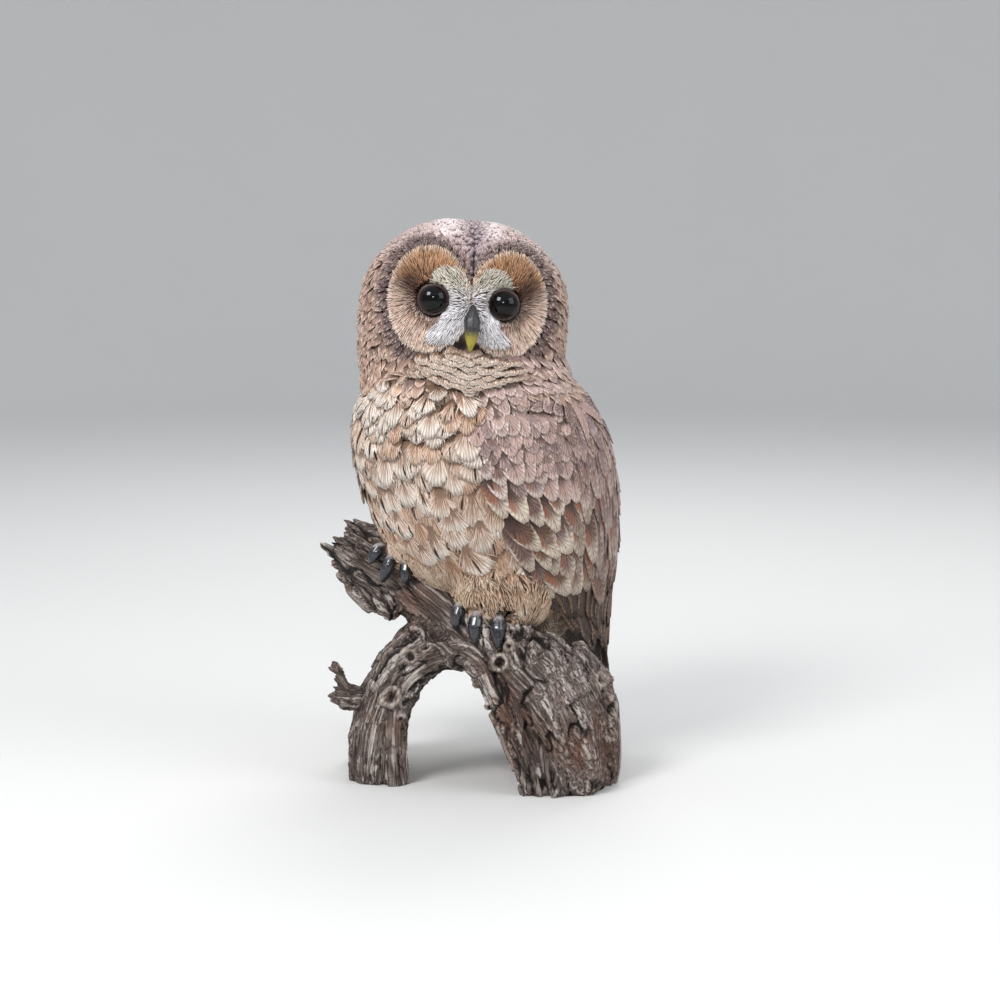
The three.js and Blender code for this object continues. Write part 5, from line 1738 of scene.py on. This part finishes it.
def carveLog(points, normals):  # how far each point moves out, in millimetres, and what shows there
    p = points * 1000 - logShift
    count = len(p)
    limbs = []
    for i, (knots, barky) in enumerate(logLimbs):
        line, tangents, radii, lengths = limbAxis(knots)
        gap = np.full(count, 1e9)
        index = np.zeros(count, int)
        for j, q in enumerate(line):
            away = np.sum((p - q) ** 2, axis=1)
            nearer = away < gap
            gap[nearer], index[nearer] = away[nearer], j
        q = p - line[index]
        step = np.sum(q * tangents[index], axis=1, keepdims=True)
        q = q - tangents[index] * step  # straight out from the limb's middle line
        along = lengths[index] + step[:, 0] + 173.0 * i  # each limb's noise starts in a place of its own
        limbs.append((np.linalg.norm(q, axis=1) - radii[index], q, along, barky))
    gaps = np.stack([limb[0] for limb in limbs])
    lowest = gaps.min(axis=0)
    weights = np.exp(-(gaps - lowest) / logShape["merge"])  # how far the grain of each limb counts
    weights /= weights.sum(axis=0)
    wander = np.stack([cloud(p / 19, seed) for seed in (31, 32, 33)], -1)
    quiver = np.stack([cloud(p / 6, seed) for seed in (34, 35, 36)], -1)
    push, crack, bark = np.zeros(count), np.zeros(count), np.zeros(count)
    for weight, (_, q, along, barky) in zip(weights, limbs):
        used = weight > 0.02
        if not used.any():
            continue
        w, s = weight[used], along[used, None]
        a = q[used] + 2.6 * wander[used] + 0.8 * quiver[used]
        flow = s * np.array([[1 / 58, 1 / 71, 1 / 64]])
        ridge = cloud(a / 9 + s / 80, 1)
        split = cloud(a / 6.6 + flow, 4)
        grain = cloud(a / 4.4 + flow * 1.3, 2)
        plates = cloud(a / 7.0 + flow * 1.9, 9)
        gate = smoothStep(cloud(p[used] / 26 + 5, 7), -0.35, 0.1)
        deep = np.clip(1 - np.abs(split) / 0.17, 0, 1) ** 1.4 * gate
        furrow = np.clip(1 - np.abs(grain) / 0.3, 0, 1) ** 1.5
        plate = smoothStep(plates, -0.12, -0.02) + 0.8 * smoothStep(plates, 0.2, 0.28)
        amount = logShape["ridge"] * ridge - logShape["crack"] * (1 + 0.5 * barky) * deep
        amount += logShape["furrow"] * (0.5 - furrow) * (0.6 + 0.3 * barky)
        amount += barky * logShape["bark"] * (plate - 0.8)
        push[used] += w * amount
        under = np.clip(1 - np.abs(plates + 0.13) / 0.09, 0, 1)
        crack[used] += w * np.clip(1.1 * deep + (0.3 + 0.3 * barky) * furrow + barky * 0.9 * under, 0, 1)
        # bark: how raised the wood is there, which woodPaint paints lighter as painted highlight
        bark[used] += w * (0.35 * ridge + 0.75 * (0.45 - furrow) + barky * (0.5 * plate - 0.6))
    ringed = np.zeros(count)
    for middle, outward, radius, pit in knotRings:
        outward = unit(np.array(outward, float))
        q = p - np.array(middle, float)
        height = q @ outward
        around = np.linalg.norm(q - height[:, None] * outward, axis=1) * (1 + 0.24 * cloud(p / 5, 12))
        close = (np.abs(height) < 12) & (normals @ outward > 0.1)
        near = np.where(close, 1 - smoothStep(around, radius * 1.1, radius * 2.0), 0)
        lip = bump(around - radius, 1.4)
        push = push * (1 - near) + near * (1.9 * lip - pit * bump(around, radius * 0.6))
        crack = crack * (1 - near) + near * np.clip(0.45 * pit * bump(around, radius * 0.5), 0, 1)
        bark = bark * (1 - near) + near * 0.5 * lip
        ripple = smoothStep(around, radius * 1.4, radius * 1.8) * (1 - smoothStep(around, 12, 19))
        push -= np.where(close, ripple, 0) * 0.9 * bump(np.sin(around * 1.15 + wander[:, 0]), 0.35)
        ringed = np.maximum(ringed, near * lip)
    best, every = np.argmax(weights, axis=0), np.arange(count)
    q, along = (np.stack([limb[k] for limb in limbs])[best, every] for k in (1, 2))
    grainAt = q / 2.2 + along[:, None] * np.array([[1 / 62, 1 / 74, 1 / 85]])
    return push, crack, bark, ringed, grainAt


brokenEnds = [  # place, direction into the wood, how far in it is splintered, and how roughly
    ((-97, 60, 160), (0.86, -0.38, -0.41), 12, 6.0), ((-101, -15, 64), (0.97, 0, -0.22), 7, 4.0),
    ((-109, 50, 158), (0.93, 0, -0.35), 8, 3.0)]


def breakEnds(points):  # splintered ends of the branch, the stub and the lip over the branch
    p = points * 1000 - logShift
    out = np.zeros_like(p)
    for start, inward, reach, rough in brokenEnds:
        inward = unit(np.array(inward, float))
        depth = (p - np.array(start, float)) @ inward
        near = np.linalg.norm(p - np.array(start, float), axis=1) < 34
        amount = (1 - smoothStep(depth, 0, reach)) * near
        jagged = cloud(p / 4.0, 41) + 0.7 * cloud(p / 1.9, 42)
        out += inward * (amount * rough * (0.35 + jagged))[:, None]
    return out / 1000


def woodPaint():
    material, wire, shader, place = newMaterial("woodPaint")
    crack, bark, ringed = wire.attribute("wood").parts()
    grainAt = wire.attribute("grainAt")
    fibre, thread = wire.noise(grainAt, 1.2, 3), wire.noise(grainAt, 3.4, 2)
    coarse, fine = wire.noise(place, 34, 3), wire.noise(place, 620, 2)
    colour = (coarse + (fibre - 0.5) * 0.7).rise(0.36, 0.66).blend(rgba(104, 88, 80), rgba(160, 146, 138))
    colour = wire.noise(place, 16, 2).rise(0.52, 0.7).blend(colour, rgba(124, 90, 74))
    # painted highlight on the raised ridges and plates
    lit = (bark * 1.1 + (fibre - 0.5) * 1.2 + (fine - 0.5) * 0.7).rise(0.1, 0.9)
    colour = (lit * 0.85).blend(colour, rgba(214, 204, 196))
    colour = (ringed * 0.4).blend(colour, rgba(200, 182, 166))
    lines = 1 - (fibre.maths("ABSOLUTE", fibre - 0.47) * 22).rise(0.15, 1.0)
    threads = 1 - (thread.maths("ABSOLUTE", thread - 0.5) * 12).rise(0.1, 1.0)
    colour = (lines * (1 - ringed) * 0.85).blend(colour, rgba(44, 32, 28))
    colour = (threads * 0.25).blend(colour, rgba(84, 62, 52))
    dark = (crack + (thread - 0.5) * 0.3).rise(0.2, 0.66)
    colour = (dark * 0.95).blend(colour, rgba(28, 20, 18))
    plug(shader, "Base Color", colour)
    plug(shader, "Roughness", 0.66 + fibre * 0.2)
    height = fibre * 0.8 + thread * 0.3 + fine * 0.15 - lines * 0.8 - threads * 0.2
    addRelief(shader, height, 1.0, 0.0018)
    return material


def addLog():
    made = joinedNodes("log_wood", logNodes, logShape["voxel"], logShape["smoothing"])
    points, normals = readPoints(made.data)
    floor = points[:, 2] < logShape["flat"]  # the flats that it stands on stay flat
    push, crack, bark, ringed, grainAt = carveLog(points, normals)
    moved = points + normals * push[:, None] / 1000 + breakEnds(points)
    moved[:, 2] = np.maximum(moved[:, 2], 0)
    moved[floor, 2] = points[floor, 2]
    writePoints(made.data, moved)
    setAttribute(made.data, "wood", np.stack([crack, bark, ringed], -1))
    setAttribute(made.data, "grainAt", grainAt)
    made.data.shade_smooth()
    made.data.materials.append(woodPaint())
    return made


# Putting it together.
def finishPiece(made, slot, nodes=()):
    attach(made, "root")
    if nodes:
        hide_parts(*nodes)


addCamera()
addStudio()
logPiece = addLog()
logTree = treeOf(logPiece)
print("log made,", len(logPiece.data.polygons), "faces")
skinPiece = addSkin()
addSkinTonesAndShade(skinPiece)
skinTree = treeOf(skinPiece)
print("skin made,", len(skinPiece.data.polygons), "faces")
bodyPiece, bodyPlan = addBody(skinPiece, skinTree, logTree)
chinPiece, chinPlan = addChin(skinPiece, skinTree)
coats = [
    (addHeadScales(skinPiece), "plumage"),
    (addDisc(skinPiece, "disc_bristles_left", 1), "face"),
    (addDisc(skinPiece, "disc_bristles_right", -1), "face"),
    (addWhite(skinPiece, "white_bristles_left", 1), "face"),
    (addWhite(skinPiece, "white_bristles_right", -1), "face"),
    (chinPiece, "breast"),
    (addBarbs("chin_barbs", skinPiece, chinPlan, 9, 16), "breast"),
    (addCollar(skinPiece, skinTree), "plumage"),
    (bodyPiece, "breast"),
    (addBarbs("breast_barbs", skinPiece, bodyPlan, 17, 40), "breast"),
    (addBelly(skinPiece, logTree), "breast"),
    (addShoulders(skinPiece, skinTree), "wing"),
    *[(made, "wing") for made in addWing("left", 1, 61) + addWing("right", -1, 62)],
    (addRump(skinPiece, skinTree), "wing"),
    (addTail("tail_feathers_outer", 1, 81), "tail"),
    (addTail("tail_feathers_inner", -1, 82), "tail"),
    (addToes(skinPiece), "breast"),
]
print("coat made,", len(coats), "pieces")
for template in templates.values():
    bpy.data.objects.remove(template)
skinPiece.data.materials.append(paints["skin"])
finishPiece(skinPiece, "plumage", fleshNodes)
for coat, slot in coats:
    finishPiece(coat, slot)
eyeMaterial, lidMaterial = eyePaint(), lidPaint()
for side, sign in (("left", 1), ("right", -1)):
    finishPiece(addEye(side, eyeMaterial), "eye", [f"eye_{side}"])
    finishPiece(addLid(side, sign, lidMaterial), "face")
addHorn()
finishPiece(logPiece, "wood", logNodes)
addFloor()
